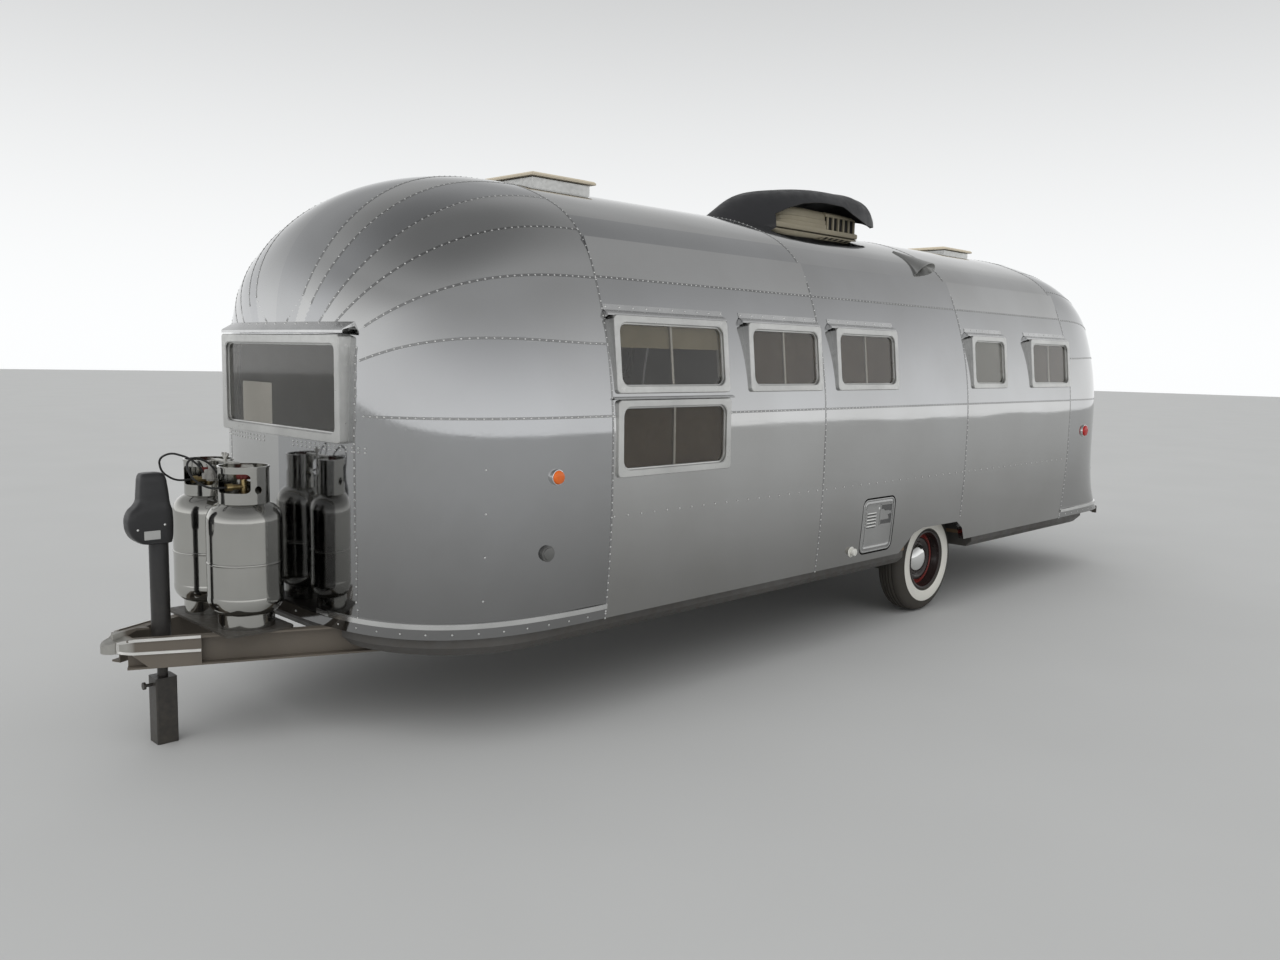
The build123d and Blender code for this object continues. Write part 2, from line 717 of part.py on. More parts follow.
HOSE_RADIUS = 4.5
HOSE_BENDS = (
    (OUTLET_REACH, 176, OUTLET_Z), (150, 176, OUTLET_Z), (215, 164, 1150), (232, 144, 1212),
    (190, 116, 1238), (122, 96, 1214), (82, 80, 1176), (62, 76, 1138), (62, 54, 1138),
)
with BuildPart() as gas_hoses:
    for side in (-1, 1):
        points = [Vector(at(TANK_STATION) - dx, side * y, z) for dx, y, z in HOSE_BENDS]
        runs = [b - a for a, b in zip(points[:-1], points[1:])]
        bends = [0.45 * min(a.length, b.length) / math.tan(math.radians(a.get_angle(b)) / 2)
                 for a, b in zip(runs[:-1], runs[1:])]
        with BuildLine() as route:
            FilletPolyline(*points, radius=bends)
        with BuildSketch(Plane(origin=points[0], z_dir=runs[0])):
            Circle(HOSE_RADIUS)
        sweep(path=route.wire())
save(gas_hoses, "gas_hoses")

# Clamp: a threaded rod between the bottles, a bar over both collars and a wing nut
with BuildPart() as tank_clamp:
    with BuildSketch(Plane.XY.offset(TANK_FOOT_Z)):
        with Locations((at(TANK_STATION), 0)):
            Circle(6)
    extrude(amount=TANK_TOP + 42 - TANK_FOOT_Z)
    slab((TANK_STATION - 16, TANK_STATION + 16), (-110, 110), (TANK_TOP, TANK_TOP + 6))
    with BuildSketch(across(TANK_STATION - 4)):
        Polygon((-9, TANK_TOP + 6), (9, TANK_TOP + 6), (12, TANK_TOP + 16), (34, TANK_TOP + 34),
                (28, TANK_TOP + 40), (0, TANK_TOP + 24), (-28, TANK_TOP + 40), (-34, TANK_TOP + 34),
                (-12, TANK_TOP + 16), align=None)
    extrude(amount=8)
save(tank_clamp, "tank_clamp")

# Tongue jack: fixed post and motor head, and the leg that slides in it
JACK_HEAD_Z = (870, 1172)
JACK_TUBE_RADIUS = 21.5
JACK_POST_FOOT = 362
FOOT_TOP = 290
with BuildPart() as jack_post:
    with BuildSketch(Plane.XY.offset(JACK_POST_FOOT)):
        with Locations((at(JACK_STATION), 0)):
            Circle(JACK_POST_RADIUS)
            Circle(JACK_TUBE_RADIUS + 1, mode=Mode.SUBTRACT)
    extrude(amount=JACK_HEAD_Z[0] - JACK_POST_FOOT)
save(jack_post, "jack_post")

JACK_HEAD_HALF = 50
HEAD_BLOCKS = ((-144, 57, 870, 1066, 46, JACK_HEAD_HALF), (-116, 12, 990, 1172, 16, 40))


def head_block(x0, x1, z0, z1, corner, half):
    """Block of the jack's head with rounded corners and softened side edges."""
    with BuildPart() as block:
        with BuildSketch(Plane.XZ.offset(-half)):
            with Locations((at(JACK_STATION + (x0 + x1) / 2), (z0 + z1) / 2)):
                RectangleRounded(x1 - x0, z1 - z0, corner)
        extrude(amount=2 * half)
        fillet(block.faces().filter_by(Axis.Y).edges(), 12)
    return block.part


with BuildPart() as jack_head:
    for block in HEAD_BLOCKS:
        add(head_block(*block))
save(jack_head, "jack_head")

with BuildPart() as jack_leg:
    with BuildSketch(Plane.XY.offset(FOOT_TOP)):
        with Locations((at(JACK_STATION), 0)):
            Circle(JACK_TUBE_RADIUS)
    extrude(amount=440)
    with BuildSketch(Plane.XY):
        with Locations((at(JACK_STATION), 0)):
            RectangleRounded(90, 90, 8)
    extrude(amount=FOOT_TOP)
    with BuildSketch(Plane.YZ.offset(at(JACK_STATION))):
        with Locations((0, FOOT_TOP - 32)):
            Circle(7)
    extrude(amount=-84)
    with BuildSketch(Plane.YZ.offset(at(JACK_STATION) - 74)):
        with Locations((0, FOOT_TOP - 32)):
            Circle(16)
    extrude(amount=-10)
save(jack_leg, "jack_leg")

# Axle: dropped tube with a spindle at each end, on leaf springs
AXLE_DROP_Z = 270
AXLE_RADIUS = 32
SPINDLE_RADIUS = 22
with BuildPart() as axle:
    with BuildSketch(Plane.XZ.offset(650)):
        with Locations((at(WHEEL_STATION), AXLE_DROP_Z)):
            Circle(AXLE_RADIUS)
    extrude(amount=-1300)
    for side in (-1, 1):
        slab((WHEEL_STATION - 30, WHEEL_STATION + 30), sorted((side * 645, side * 705)), (238, 395))
        y_from = side * 700
        with BuildSketch(Plane.XZ.offset(-y_from)):
            with Locations((at(WHEEL_STATION), WHEEL_RADIUS)):
                Circle(SPINDLE_RADIUS)
        extrude(amount=-side * 160)
save(axle, "axle")

LEAVES = ((330, 318), (250, 310), (170, 302))
SPRING_RADIUS = 2178
with BuildPart() as leaf_springs:
    for side in (-1, 1):
        y = side * (RAIL_Y + RAIL_WIDTH / 2)
        for half, z in LEAVES:
            sag = half**2 / (2 * SPRING_RADIUS)
            with BuildSketch(Plane.XZ.offset(-y - 17)):
                with BuildLine():
                    low = ThreePointArc(
                        (at(WHEEL_STATION - half), z + sag), (at(WHEEL_STATION), z),
                        (at(WHEEL_STATION + half), z + sag))
                    high = ThreePointArc(
                        (at(WHEEL_STATION - half), z + sag + 8), (at(WHEEL_STATION), z + 8),
                        (at(WHEEL_STATION + half), z + sag + 8))
                    Line(low @ 0, high @ 0)
                    Line(low @ 1, high @ 1)
                make_face()
            extrude(amount=34)
        for end in (-1, 1):
            with BuildSketch(Plane.XZ.offset(-y - 17)):
                with Locations((at(WHEEL_STATION + end * SPRING_HALF), SPRING_EYE_Z + 4)):
                    Circle(14)
            extrude(amount=34)
save(leaf_springs, "leaf_springs")

# Wheels: tyre, dished steel wheel with its drum, and hub cap
for name, side in (("left", -1), ("right", 1)):
    spin = Axis((at(WHEEL_STATION), 0, WHEEL_RADIUS), (0, 1, 0))

    def wheel_points(rows):
        """Profile rows of distance in from the tyre's face and radius, as plane points."""
        return [(side * (TYRE_FACE_Y - inward), WHEEL_RADIUS + radius) for inward, radius in rows]

    with BuildPart() as tyre:
        with BuildSketch(across(WHEEL_STATION)):
            with BuildLine():
                heel, bead, wall_out, edge, crown, far_edge, wall_in, far_bead, toe = wheel_points((
                    (22, TYRE_BORE), (9, 213), (0, 262), (30, 345), (96, WHEEL_RADIUS), (162, 345),
                    (192, 262), (183, 213), (170, TYRE_BORE),
                ))
                Line(heel, bead)
                ThreePointArc(bead, wall_out, edge)
                ThreePointArc(edge, crown, far_edge)
                ThreePointArc(far_edge, wall_in, far_bead)
                Polyline(far_bead, toe, heel)
            make_face()
        revolve(axis=spin)
    save(tyre, f"tyre_{name}")
    with BuildPart() as disc:
        with BuildSketch(across(WHEEL_STATION)):
            with BuildLine():
                Polyline(wheel_points((
                    (17, 198), (12, 198), (12, 186), (30, 182), (60, 172), (96, 168), (84, 140), (74, 110),
                    (74, 0), (82, 0), (82, 60), (92, 140), (104, 160), (160, 170), (180, 186), (180, 198),
                    (175, 198), (170, TYRE_BORE), (22, TYRE_BORE),
                )), close=True)
            make_face()
        revolve(axis=spin)
        with BuildSketch(across(WHEEL_STATION)):
            with BuildLine():
                Polyline(wheel_points((
                    (82, SPINDLE_RADIUS + 0.05), (82, 130), (215, 130), (215, SPINDLE_RADIUS + 0.05),
                )), close=True)
            make_face()
        revolve(axis=spin)
    save(disc, f"wheel_{name}")
    with BuildPart() as hub_cap:
        with BuildSketch(across(WHEEL_STATION)):
            with BuildLine():
                dome = ((74, 0), (38, 0), (44, 52), (60, 92), (74, 104))
                seat, top, crown, shoulder, lip = wheel_points(dome)
                Line(seat, top)
                ThreePointArc(top, crown, shoulder)
                Line(shoulder, lip)
                Line(lip, seat)
            make_face()
        revolve(axis=spin)
    save(hub_cap, f"hub_cap_{name}")

# Roof vents: upstand on the roof with a hinged lid, and the rain lid's rim over it
VENTS = (("front_vent", 1300, 1750, 2640), ("rear_vent", 5560, 6000, 2625))
with BuildPart() as vent_bases:
    for _, x0, x1, top in VENTS:
        slab((x0 + 25, x1 - 25), (-185, 185), (CROWN - 60, top - 30))
    for _, x0, x1, top in VENTS:
        slab((x0 + 33, x1 - 33), (-177, 177), (CROWN - 70, top), mode=Mode.SUBTRACT)
    add(MIDDLE_OUT, mode=Mode.SUBTRACT)
save(vent_bases, "vent_bases")

for name, x0, x1, top in VENTS:
    with BuildPart() as lid:
        slab((x0, x1), (-210, 210), (top - 25, top - 7))
        chamfer(lid.faces().sort_by(Axis.Z)[-1].edges(), 8)
        slab((x0 + 34, x1 - 34), (-176, 176), (top - 10, top))
        fillet(lid.faces().sort_by(Axis.Z)[-1].edges(), 3)
    save(lid, f"{name}_lid")

# Roof cooler: a base pan, a shroud with rows of louvres, and a coil behind upright fins
PAN = ((3165, 4215), 290, 2578)
SHROUD = ((3225, 3850), 262, 2700)
COIL = ((3850, 4185), 250, 2680)
LOUVRE_ROWS = (2606, 2634, 2662)
FIN_STATIONS = range(3868, 4160, 36)
with BuildPart() as cooler:
    slab(PAN[0], (-PAN[1], PAN[1]), (CROWN - 120, PAN[2]))
    fillet(cooler.edges().filter_by(Axis.Z), 40)
    slab(SHROUD[0], (-SHROUD[1], SHROUD[1]), (PAN[2], SHROUD[2]))
    fillet(cooler.faces().sort_by(Axis.Z)[-1].edges(), 24)
    slab(COIL[0], (-COIL[1], COIL[1]), (PAN[2], COIL[2]))
    for side in (-1, 1):
        for z in LOUVRE_ROWS:
            y_range = sorted((side * (SHROUD[1] - 8), side * (SHROUD[1] + 1)))
            slab((SHROUD[0][0] + 30, SHROUD[0][1] - 30), y_range, (z, z + 8), mode=Mode.SUBTRACT)
        for x in FIN_STATIONS:
            y_range = sorted((side * (COIL[1] - 26), side * (COIL[1] + 1)))
            slab((x, x + 20), y_range, (PAN[2] + 16, COIL[2] - 16), mode=Mode.SUBTRACT)
    add(MIDDLE_OUT, mode=Mode.SUBTRACT)
save(cooler, "roof_cooler")

# Hood: station, foot half width, foot, top; an arch is cut from its left side, its rear end overhangs
HOOD = (
    (2830, 120, 2545, 2592),
    (2900, 220, 2540, 2690),
    (3010, 285, 2538, 2738),
    (3200, 335, 2535, 2784),
    (3600, 365, 2530, 2848),
    (4000, 365, 2530, 2868),
    (4240, 345, 2530, 2860),
    (4320, 325, 2530, 2815),
)
HOOD_SHEET = 7
HOOD_CUT = (
    (3155, 2400), (3155, 2560), (3185, 2620), (3330, 2667), (3490, 2712), (3620, 2729), (3710, 2735),
    (3900, 2731), (4000, 2692), (4200, 2638), (4200, 2400),
)
HOOD_TAIL = (4199, 2638)


def hood_section(half, z0, z1, inset):
    """Outline of the hood at one station: upright sides, broad shoulders and a slightly crowned top."""
    half, top, rise = half - inset, z1 - inset, z1 - z0
    bend, bend_z, brow_z = 0.90 * half, z0 + 0.78 * rise - inset, top - 0.04 * rise
    with BuildSketch() as section:
        with BuildLine():
            Line((-half, z0), (half, z0))
            Line((half, z0), (half, z0 + 0.4 * rise))
            ThreePointArc((half, z0 + 0.4 * rise), (bend, bend_z), (0.62 * half, brow_z))
            ThreePointArc((0.62 * half, brow_z), (0, top), (-0.62 * half, brow_z))
            ThreePointArc((-0.62 * half, brow_z), (-bend, bend_z), (-half, z0 + 0.4 * rise))
            Line((-half, z0 + 0.4 * rise), (-half, z0))
        make_face()
    return section.sketch


def hood_solid(inset, front_shift, rear_shift, sink):
    """Solid hood form, drawn in by inset, with its ends moved."""
    with BuildPart() as form:
        for x, half, z0, z1 in HOOD:
            shift = front_shift if x == HOOD[0][0] else (rear_shift if x == HOOD[-1][0] else 0)
            with BuildSketch(across(x + shift)):
                add(hood_section(half, z0 - sink, z1, inset))
        loft(ruled=True)
    return form.part


with BuildPart() as hood:
    add(hood_solid(0, 0, 0, 0))
    add(hood_solid(HOOD_SHEET, 14, 12, 20), mode=Mode.SUBTRACT)
    with BuildSketch(Plane.XZ.offset(100)):
        Polygon(*[(at(x), z) for x, z in HOOD_CUT], align=None)
    extrude(amount=350, mode=Mode.SUBTRACT)
    slab((HOOD_TAIL[0], 4500), (-500, 500), (2400, HOOD_TAIL[1]), mode=Mode.SUBTRACT)
    add(MIDDLE_OUT, mode=Mode.SUBTRACT)
save(hood, "cooler_hood")

# Lamps: round amber ones on the front cap and red ones on the rear cap
LAMPS = (
    ("marker_lamps", FRONT_OUT, 716, 1172, ((35, 1116), (29, 1137))),
    ("tail_lamps", REAR_OUT, 6303, 1177, ((50, 1118), (43, 1140))),
)
for name, outside, station, z, steps in LAMPS:
    with BuildPart() as lamps:
        for side in (-1, 1):
            for radius, reach in steps:
                with BuildSketch(Plane.XZ.offset(-side * 900)):
                    with Locations((at(station), z)):
                        Circle(radius)
                extrude(amount=-side * (reach - 900))
        add(outside, mode=Mode.SUBTRACT)
    save(lamps, name)

# Water filler on the left wall and drain cap on the front cap: station, height, radius, reach
SIDE_CAPS = ((3052, 567, 33, 1110), (3052, 567, 21, 1124), (675, 840, 36, 1112), (675, 840, 26, 1118))
with BuildPart() as side_caps:
    for station, z, radius, reach in SIDE_CAPS:
        with BuildSketch(Plane.XZ.offset(900)):
            with Locations((at(station), z)):
                Circle(radius)
        extrude(amount=reach - 900)
    add(FRONT_OUT, mode=Mode.SUBTRACT)
    add(MIDDLE_OUT, mode=Mode.SUBTRACT)
save(side_caps, "side_caps")

# Drip caps over the windows and the door
DRIP_SHEET = 5
DRIP_FLANGE = 30
with BuildPart() as drip_caps:
    for rows, side in ((LEFT_WINDOWS, -1), (RIGHT_WINDOWS + (DOOR_WINDOW,), 1)):
        for x0, x1, z0, z1, lean, _ in rows:
            if z0 < SPRING_Z or x0 == DOOR_WINDOW[0]:
                continue
            face_y = skin_y(z0) + FRAME_PROUD - (z1 - z0) * math.tan(math.radians(lean))
            foot = z1 + 4
            y_range = sorted((side * 1000, side * (face_y + 12)))
            slab((x0 - 14, x1 + 14), y_range, (foot, foot + DRIP_SHEET))
            lip = sorted((side * (face_y + 9), side * (face_y + 12)))
            slab((x0 - 14, x1 + 14), lip, (foot, foot + 14))
            for strip in range(3):
                low = foot + DRIP_SHEET + strip * DRIP_FLANGE / 3
                reach = skin_y(low) + 2.5
                y_range = sorted((side * 1000, side * reach))
                slab((x0 - 14, x1 + 14), y_range, (low, low + DRIP_FLANGE / 3))
    for place in (front, rear):
        foot = END_Z[1] + 4
        slab(sorted((place(-24), place(200))), (-600, 600), (foot, foot + DRIP_SHEET))
        slab(sorted((place(-24), place(-21))), (-600, 600), (foot, foot + 14))
    add(MIDDLE_OUT, mode=Mode.SUBTRACT)
    add(FRONT_OUT, mode=Mode.SUBTRACT)
    add(REAR_OUT, mode=Mode.SUBTRACT)
save(drip_caps, "drip_caps")

# Scoop vent on the left shoulder of the roof: half a flat cone, closed at its tip, open at its mouth
SCOOP_TIP = (4148, -602, 2439)
SCOOP_MOUTH = ((4060, -860, 2262), (4320, -800, 2325))
SCOOP_HALF = (135, 74)


def scoop_cone(inset, past):
    """Cone from the mouth's ellipse to a small one at the tip, drawn in by inset and run past the mouth."""
    tip = Vector(at(SCOOP_TIP[0]), *SCOOP_TIP[1:])
    ends = [Vector(at(x), y, z) for x, y, z in SCOOP_MOUTH]
    middle = (ends[0] + ends[1]) / 2
    run = (tip - middle).normalized()
    with BuildPart() as cone:
        for origin, wide, high in ((middle - run * past, *SCOOP_HALF), (tip, 10, 8)):
            with BuildSketch(Plane(origin=origin, x_dir=ends[1] - ends[0], z_dir=run)):
                Ellipse(wide - inset, high - inset)
        loft()
    return cone.part


with BuildPart() as roof_scoop:
    add(scoop_cone(0, 0))
    add(scoop_cone(3, 4), mode=Mode.SUBTRACT)
    add(MIDDLE_OUT, mode=Mode.SUBTRACT)
save(roof_scoop, "roof_scoop")

# Folding step under the doorway, fixed to the frame
with BuildPart() as entry_step:
    slab((2850, 3370), (800, 1090), (285, 315))
    for station in (2870, 3350):
        slab((station - 15, station + 15), (RAIL_Y, 860), (PAN_Z - 45, PAN_Z))
        slab((station - 15, station + 15), (810, 850), (300, PAN_Z))
    add(chassis.part, mode=Mode.SUBTRACT)
save(entry_step, "entry_step")

# Rear bumper on the ends of the frame rails
BUMPER_HALF = 975
with BuildPart() as rear_bumper:
    with BuildSketch(Plane.XY.offset(FRAME_Z + 60)):
        with Locations((at(BODY_LENGTH - 80), 0)):
            RectangleRounded(2 * (REAR_END - BODY_LENGTH + 80), 2 * BUMPER_HALF, 120)
            inner_size = (2 * (REAR_END - BODY_LENGTH + 45), 2 * (BUMPER_HALF - 35))
            RectangleRounded(*inner_size, 85, mode=Mode.SUBTRACT)
    extrude(amount=SILL - FRAME_Z - 70)
    slab((BODY_LENGTH - 60, REAR_END), (-BUMPER_HALF, BUMPER_HALF), (0, 900), mode=Mode.INTERSECT)
    for side in (-1, 1):
        y_range = sorted((side * (RAIL_Y + 10), side * (RAIL_Y + 38)))
        slab((6900, REAR_END - 20), y_range, (400, 480))
    add(belly_pan.part, mode=Mode.SUBTRACT)
save(rear_bumper, "rear_bumper")
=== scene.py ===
"""Riveted aluminium travel caravan, dressed for a studio picture.

Lengths are in metres in the model's own frame: X runs rearwards, +Y is the caravan's right, Z is up.
A station is the distance rearwards from the front window's face.
"""
import math

import bmesh
import bpy
import numpy as np
from mathutils import Matrix


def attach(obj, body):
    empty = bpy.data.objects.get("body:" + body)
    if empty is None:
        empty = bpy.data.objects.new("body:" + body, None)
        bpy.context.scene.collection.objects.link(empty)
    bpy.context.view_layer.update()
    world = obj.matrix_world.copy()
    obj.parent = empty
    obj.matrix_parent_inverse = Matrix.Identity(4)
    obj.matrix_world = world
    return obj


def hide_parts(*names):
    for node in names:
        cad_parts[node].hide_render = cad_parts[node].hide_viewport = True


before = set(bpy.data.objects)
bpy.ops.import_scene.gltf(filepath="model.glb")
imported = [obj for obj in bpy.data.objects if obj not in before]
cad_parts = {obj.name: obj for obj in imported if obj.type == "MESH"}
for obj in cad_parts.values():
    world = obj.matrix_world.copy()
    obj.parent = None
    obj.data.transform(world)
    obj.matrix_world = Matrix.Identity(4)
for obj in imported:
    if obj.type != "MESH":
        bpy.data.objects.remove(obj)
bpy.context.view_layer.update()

# Camera
# The picture is taken from the left front, at about the height of a standing person's eyes, with a
# moderately wide lens. Its place was solved from the body's straight seams and the wheel.
MIDDLE = 3.1775
camera_data = bpy.data.cameras.new("camera")
camera_data.lens = 29.65
camera_data.sensor_width = 36.0
camera_data.clip_end = 300.0
camera = bpy.data.objects.new("camera", camera_data)
bpy.context.collection.objects.link(camera)
camera.matrix_world = Matrix((
    (0.70417, 0.06820, -0.70675, -2.2493 - MIDDLE),
    (-0.70970, 0.09842, -0.69760, -4.5434),
    (0.02198, 0.99281, 0.11770, 1.7039),
    (0.0, 0.0, 0.0, 1.0),
))
bpy.context.scene.camera = camera
bpy.context.scene.view_settings.view_transform = "Standard"


# Floor and light
# A pale seamless floor under a white room: one broad soft lamp from the left front, a weaker one from
# behind on the right, and even light from all round.
def node_adder(owner, fresh=True):
    """Function that adds a node by its type to a material's or world's tree, which is emptied first when
    fresh: each input it names gets a value, or a link where the value is another node's output."""
    owner.use_nodes = True
    tree = owner.node_tree
    if fresh:
        tree.nodes.clear()

    def add(kind, **inputs):
        node = tree.nodes.new("ShaderNode" + kind)
        for name, value in inputs.items():
            socket = node.inputs[name.replace("_", " ")]
            if isinstance(value, bpy.types.NodeSocket):
                tree.links.new(value, socket)
            else:
                socket.default_value = value
        return node

    return add


def ramp(add, share, stops, easing="LINEAR"):
    """Colour of a ramp at a share; each stop is a position and a colour."""
    node = add("ValToRGB", Fac=share)
    node.color_ramp.interpolation = easing
    steps = node.color_ramp.elements
    for _ in stops[2:]:
        steps.new(0.5)
    for step, (position, colour) in zip(steps, stops):
        step.position = position
        step.color = (*colour, 1.0)
    return node.outputs["Color"]


def combined(add, operation, one, other):
    """Result of a maths step on two values."""
    node = add("Math", Value=one)
    node.operation = operation
    node.id_data.links.new(other, node.inputs[1])
    return node.outputs[0]


FLOOR_RADIUS = 70.0


def studio_floor(rows=24, cols=96):
    """Pale floor, a flat ring grid whose radius grows as the square of the ring's number."""
    radii = FLOOR_RADIUS * np.linspace(0.0, 1.0, rows + 1)[1:] ** 2
    turns = np.linspace(0.0, 2 * np.pi, cols, endpoint=False)
    x = np.outer(radii, np.cos(turns))
    y = np.outer(radii, np.sin(turns))
    points = np.stack([x, y, np.full_like(x, -0.0005)], axis=-1).reshape(-1, 3)
    here = np.arange(rows * cols).reshape(rows, cols)
    after = np.roll(here, -1, axis=1)
    quads = np.stack([here[:-1], here[1:], after[1:], after[:-1]], axis=-1).reshape(-1, 4)
    mesh = bpy.data.meshes.new("studio_floor")
    mesh.from_pydata(points.tolist(), [], quads.tolist() + [here[0].tolist()])
    floor = bpy.data.objects.new("studio_floor", mesh)
    bpy.context.collection.objects.link(floor)
    material = bpy.data.materials.new("floor_paint")
    add = node_adder(material)
    place = add("TexCoord").outputs["Object"]
    cloud = add("TexNoise", Vector=place, Scale=0.8).outputs["Fac"]
    tone = ramp(add, cloud, ((0.0, (0.50, 0.50, 0.49)), (1.0, (0.54, 0.54, 0.53))))
    paint = add("BsdfPrincipled", Base_Color=tone, Roughness=0.9)
    add("OutputMaterial", Surface=paint.outputs["BSDF"])
    mesh.materials.append(material)


studio_floor()

room = bpy.data.worlds.new("room")
bpy.context.scene.world = room
add = node_adder(room)
height = add("SeparateXYZ", Vector=add("TexCoord").outputs["Generated"])
SHADES = ((0.0, 1.0), (0.55, 0.42), (1.0, 0.20))
overhead = [(z, (shade * 0.985, shade * 0.995, shade)) for z, shade in SHADES]
seen = add("Background", Color=ramp(add, height.outputs["Z"], overhead, "EASE"), Strength=1.0)
lit = add("Background", Color=(0.96, 0.98, 1.0, 1.0), Strength=0.62)
path = add("LightPath")
either = path.outputs["Is Camera Ray"]
for kind in ("Is Glossy Ray", "Is Transmission Ray"):
    either = combined(add, "MAXIMUM", either, path.outputs[kind])
mix = add("MixShader", Fac=either)
room.node_tree.links.new(lit.outputs[0], mix.inputs[1])
room.node_tree.links.new(seen.outputs[0], mix.inputs[2])
add("OutputWorld", Surface=mix.outputs[0])

LAMP_SPREAD = 1.4
for name, strength, tilt, turn in (("key_lamp", 1.25, 48, -62), ("rear_lamp", 0.5, 55, 130)):
    lamp_data = bpy.data.lights.new(name, "SUN")
    lamp_data.energy = strength
    lamp_data.angle = LAMP_SPREAD
    lamp = bpy.data.objects.new(name, lamp_data)
    lamp.rotation_euler = (math.radians(tilt), 0.0, math.radians(turn))
    lamp.visible_glossy = False
    bpy.context.collection.objects.link(lamp)


# Shell
# Sheets of polished aluminium are riveted over ribs: two walls, a roof and two domed ends. Each piece
# here has the whole wall's thickness, a polished outside and a painted lining inside.
BODY_LENGTH = 7.100
HALF_WIDTH = 1.118
CROWN = 2.565
SILL = 0.490
WALL = 0.038
SPRING_Z = 1.280
TUCK_Z = 1.100
TUCK = 0.034
SIDE_RADIUS = 2.200
SHOULDER_RATIO = 0.51
ROOF_RATIO = 1.342
EAVES_Z = 2.240
NOSE_Z = 1.800
NOSE_POWER = 2.3
PLAN_POWER = 3.15
BLUNT_SHARE = 0.985
BELT_Z = 1.420
ENDS = {"front": (1.044, 3.15), "rear": (1.094, 6.0)}
TURNS = np.radians(np.linspace(0.0, 90.0, 73))
LOWER_Z = np.concatenate([[1.395, 1.37, 1.345, 1.322], np.linspace(1.29, SILL, 24)])


def at(station):
    """X of a station."""
    return station - MIDDLE


def half_outline(width, crown, foot):
    """Half of the body's section, from the roof's middle to the sill, as widths and heights.

    A roof arc, a shoulder arc and a side arc touch one another; below them the side is straight and
    then draws in as the square of the distance under the tuck. Above the belt the points lie on
    rays from the belt's middle, one for each turn, and below it at the given heights.
    """
    shoulder = SHOULDER_RATIO * width
    roof = ROOF_RATIO * width
    side_c = np.array([width - SIDE_RADIUS, SPRING_Z])
    roof_c = np.array([0.0, crown - roof])
    between = roof_c - side_c
    gap = np.hypot(*between)
    reach = SIDE_RADIUS - shoulder
    along = (reach**2 - (roof - shoulder) ** 2 + gap**2) / (2 * gap)
    unit = between / gap
    off = math.sqrt(max(reach**2 - along**2, 0.0))
    shoulder_c = side_c + unit * along + np.array([-unit[1], unit[0]]) * off
    brow = math.atan2(*(shoulder_c - roof_c))
    eave = math.atan2(*(shoulder_c - side_c))
    arcs = ((roof_c, roof, 0.0, brow), (shoulder_c, shoulder, brow, eave),
            (side_c, SIDE_RADIUS, eave, np.pi / 2))
    y = np.concatenate([c[0] + r * np.sin(np.linspace(a, b, 160)) for c, r, a, b in arcs])
    z = np.concatenate([c[1] + r * np.cos(np.linspace(a, b, 160)) for c, r, a, b in arcs])
    turn = np.arctan2(y, z - BELT_Z)
    upper = turn <= np.pi / 2 + 0.2
    radius = np.interp(TURNS, turn[upper], np.hypot(y, z - BELT_Z)[upper])
    side = np.where(LOWER_Z > SPRING_Z, width - SIDE_RADIUS + np.sqrt(
        SIDE_RADIUS**2 - np.maximum(LOWER_Z - SPRING_Z, 0.0) ** 2), width)
    drawn_in = (foot - width) * (np.maximum(TUCK_Z - LOWER_Z, 0.0) / (TUCK_Z - SILL)) ** 2
    return (np.concatenate([radius * np.sin(TURNS), side + drawn_in]),
            np.concatenate([BELT_Z + radius * np.cos(TURNS), LOWER_Z]))


def run_out(share, power):
    """What is left of a full size at this share of a domed end's depth."""
    return (1.0 - np.minimum(share, 1.0) ** power) ** (1.0 / power)


def dome(end, shares):
    """Points of a domed end, one row for each share of its depth and one column across the arch.

    Width, foot and crown run out by their own powers. Past the blunt share the last section only
    shrinks, in width and above the belt, to the upright line of the nose.
    """
    depth, foot_power = ENDS[end]
    rows = []
    for share in shares:
        held = min(share, BLUNT_SHARE)
        sizes = (HALF_WIDTH * run_out(held, PLAN_POWER),
                 NOSE_Z + (CROWN - NOSE_Z) * run_out(held, NOSE_POWER),
                 (HALF_WIDTH - TUCK) * run_out(held, foot_power))
        y, z = half_outline(*sizes)
        if share > held:
            crown = NOSE_Z + (CROWN - NOSE_Z) * run_out(share, NOSE_POWER)
            y = y * HALF_WIDTH * run_out(share, PLAN_POWER) / sizes[0]
            z = np.where(z > BELT_Z, BELT_Z + (z - BELT_Z) * (crown - BELT_Z) / (sizes[1] - BELT_Z), z)
        station = depth * (1.0 - share)
        x = at(station if end == "front" else BODY_LENGTH - station)
        half = np.stack([np.full_like(y, x), y, z], axis=-1)
        rows.append(np.concatenate([half[:0:-1] * (1, -1, 1), half]))
    return np.array(rows)


def facing(lengthwise, crosswise, outward_x):
    """Unit normals from two sets of tangents, turned away from the cabin."""
    normal = np.cross(lengthwise, crosswise)
    normal /= np.maximum(np.linalg.norm(normal, axis=-1, keepdims=True), 1e-12)
    middle = normal.shape[1] // 2
    flip = np.where(normal[:, middle:middle + 1, 2:] < 0, -1.0, 1.0)
    normal = normal * flip
    normal[np.abs(lengthwise).max(axis=(1, 2)) < 1e-9] = (outward_x, 0.0, 0.0)
    return normal


def dome_normals(end, shares):
    """Outward normals of a domed end, from sections a little ahead of and behind each share."""
    step = 2e-4
    back = np.clip(shares - step, 0.0, 1.0)
    ahead = np.clip(shares + step, 0.0, 1.0 - 1e-7)
    points = dome(end, shares)
    normals = facing(dome(end, ahead) - dome(end, back), np.gradient(points, axis=1), 0.0)
    nose = shares > 1.0 - 1e-6
    normals[nose] = (-1.0 if end == "front" else 1.0, 0.0, 0.0)
    return normals


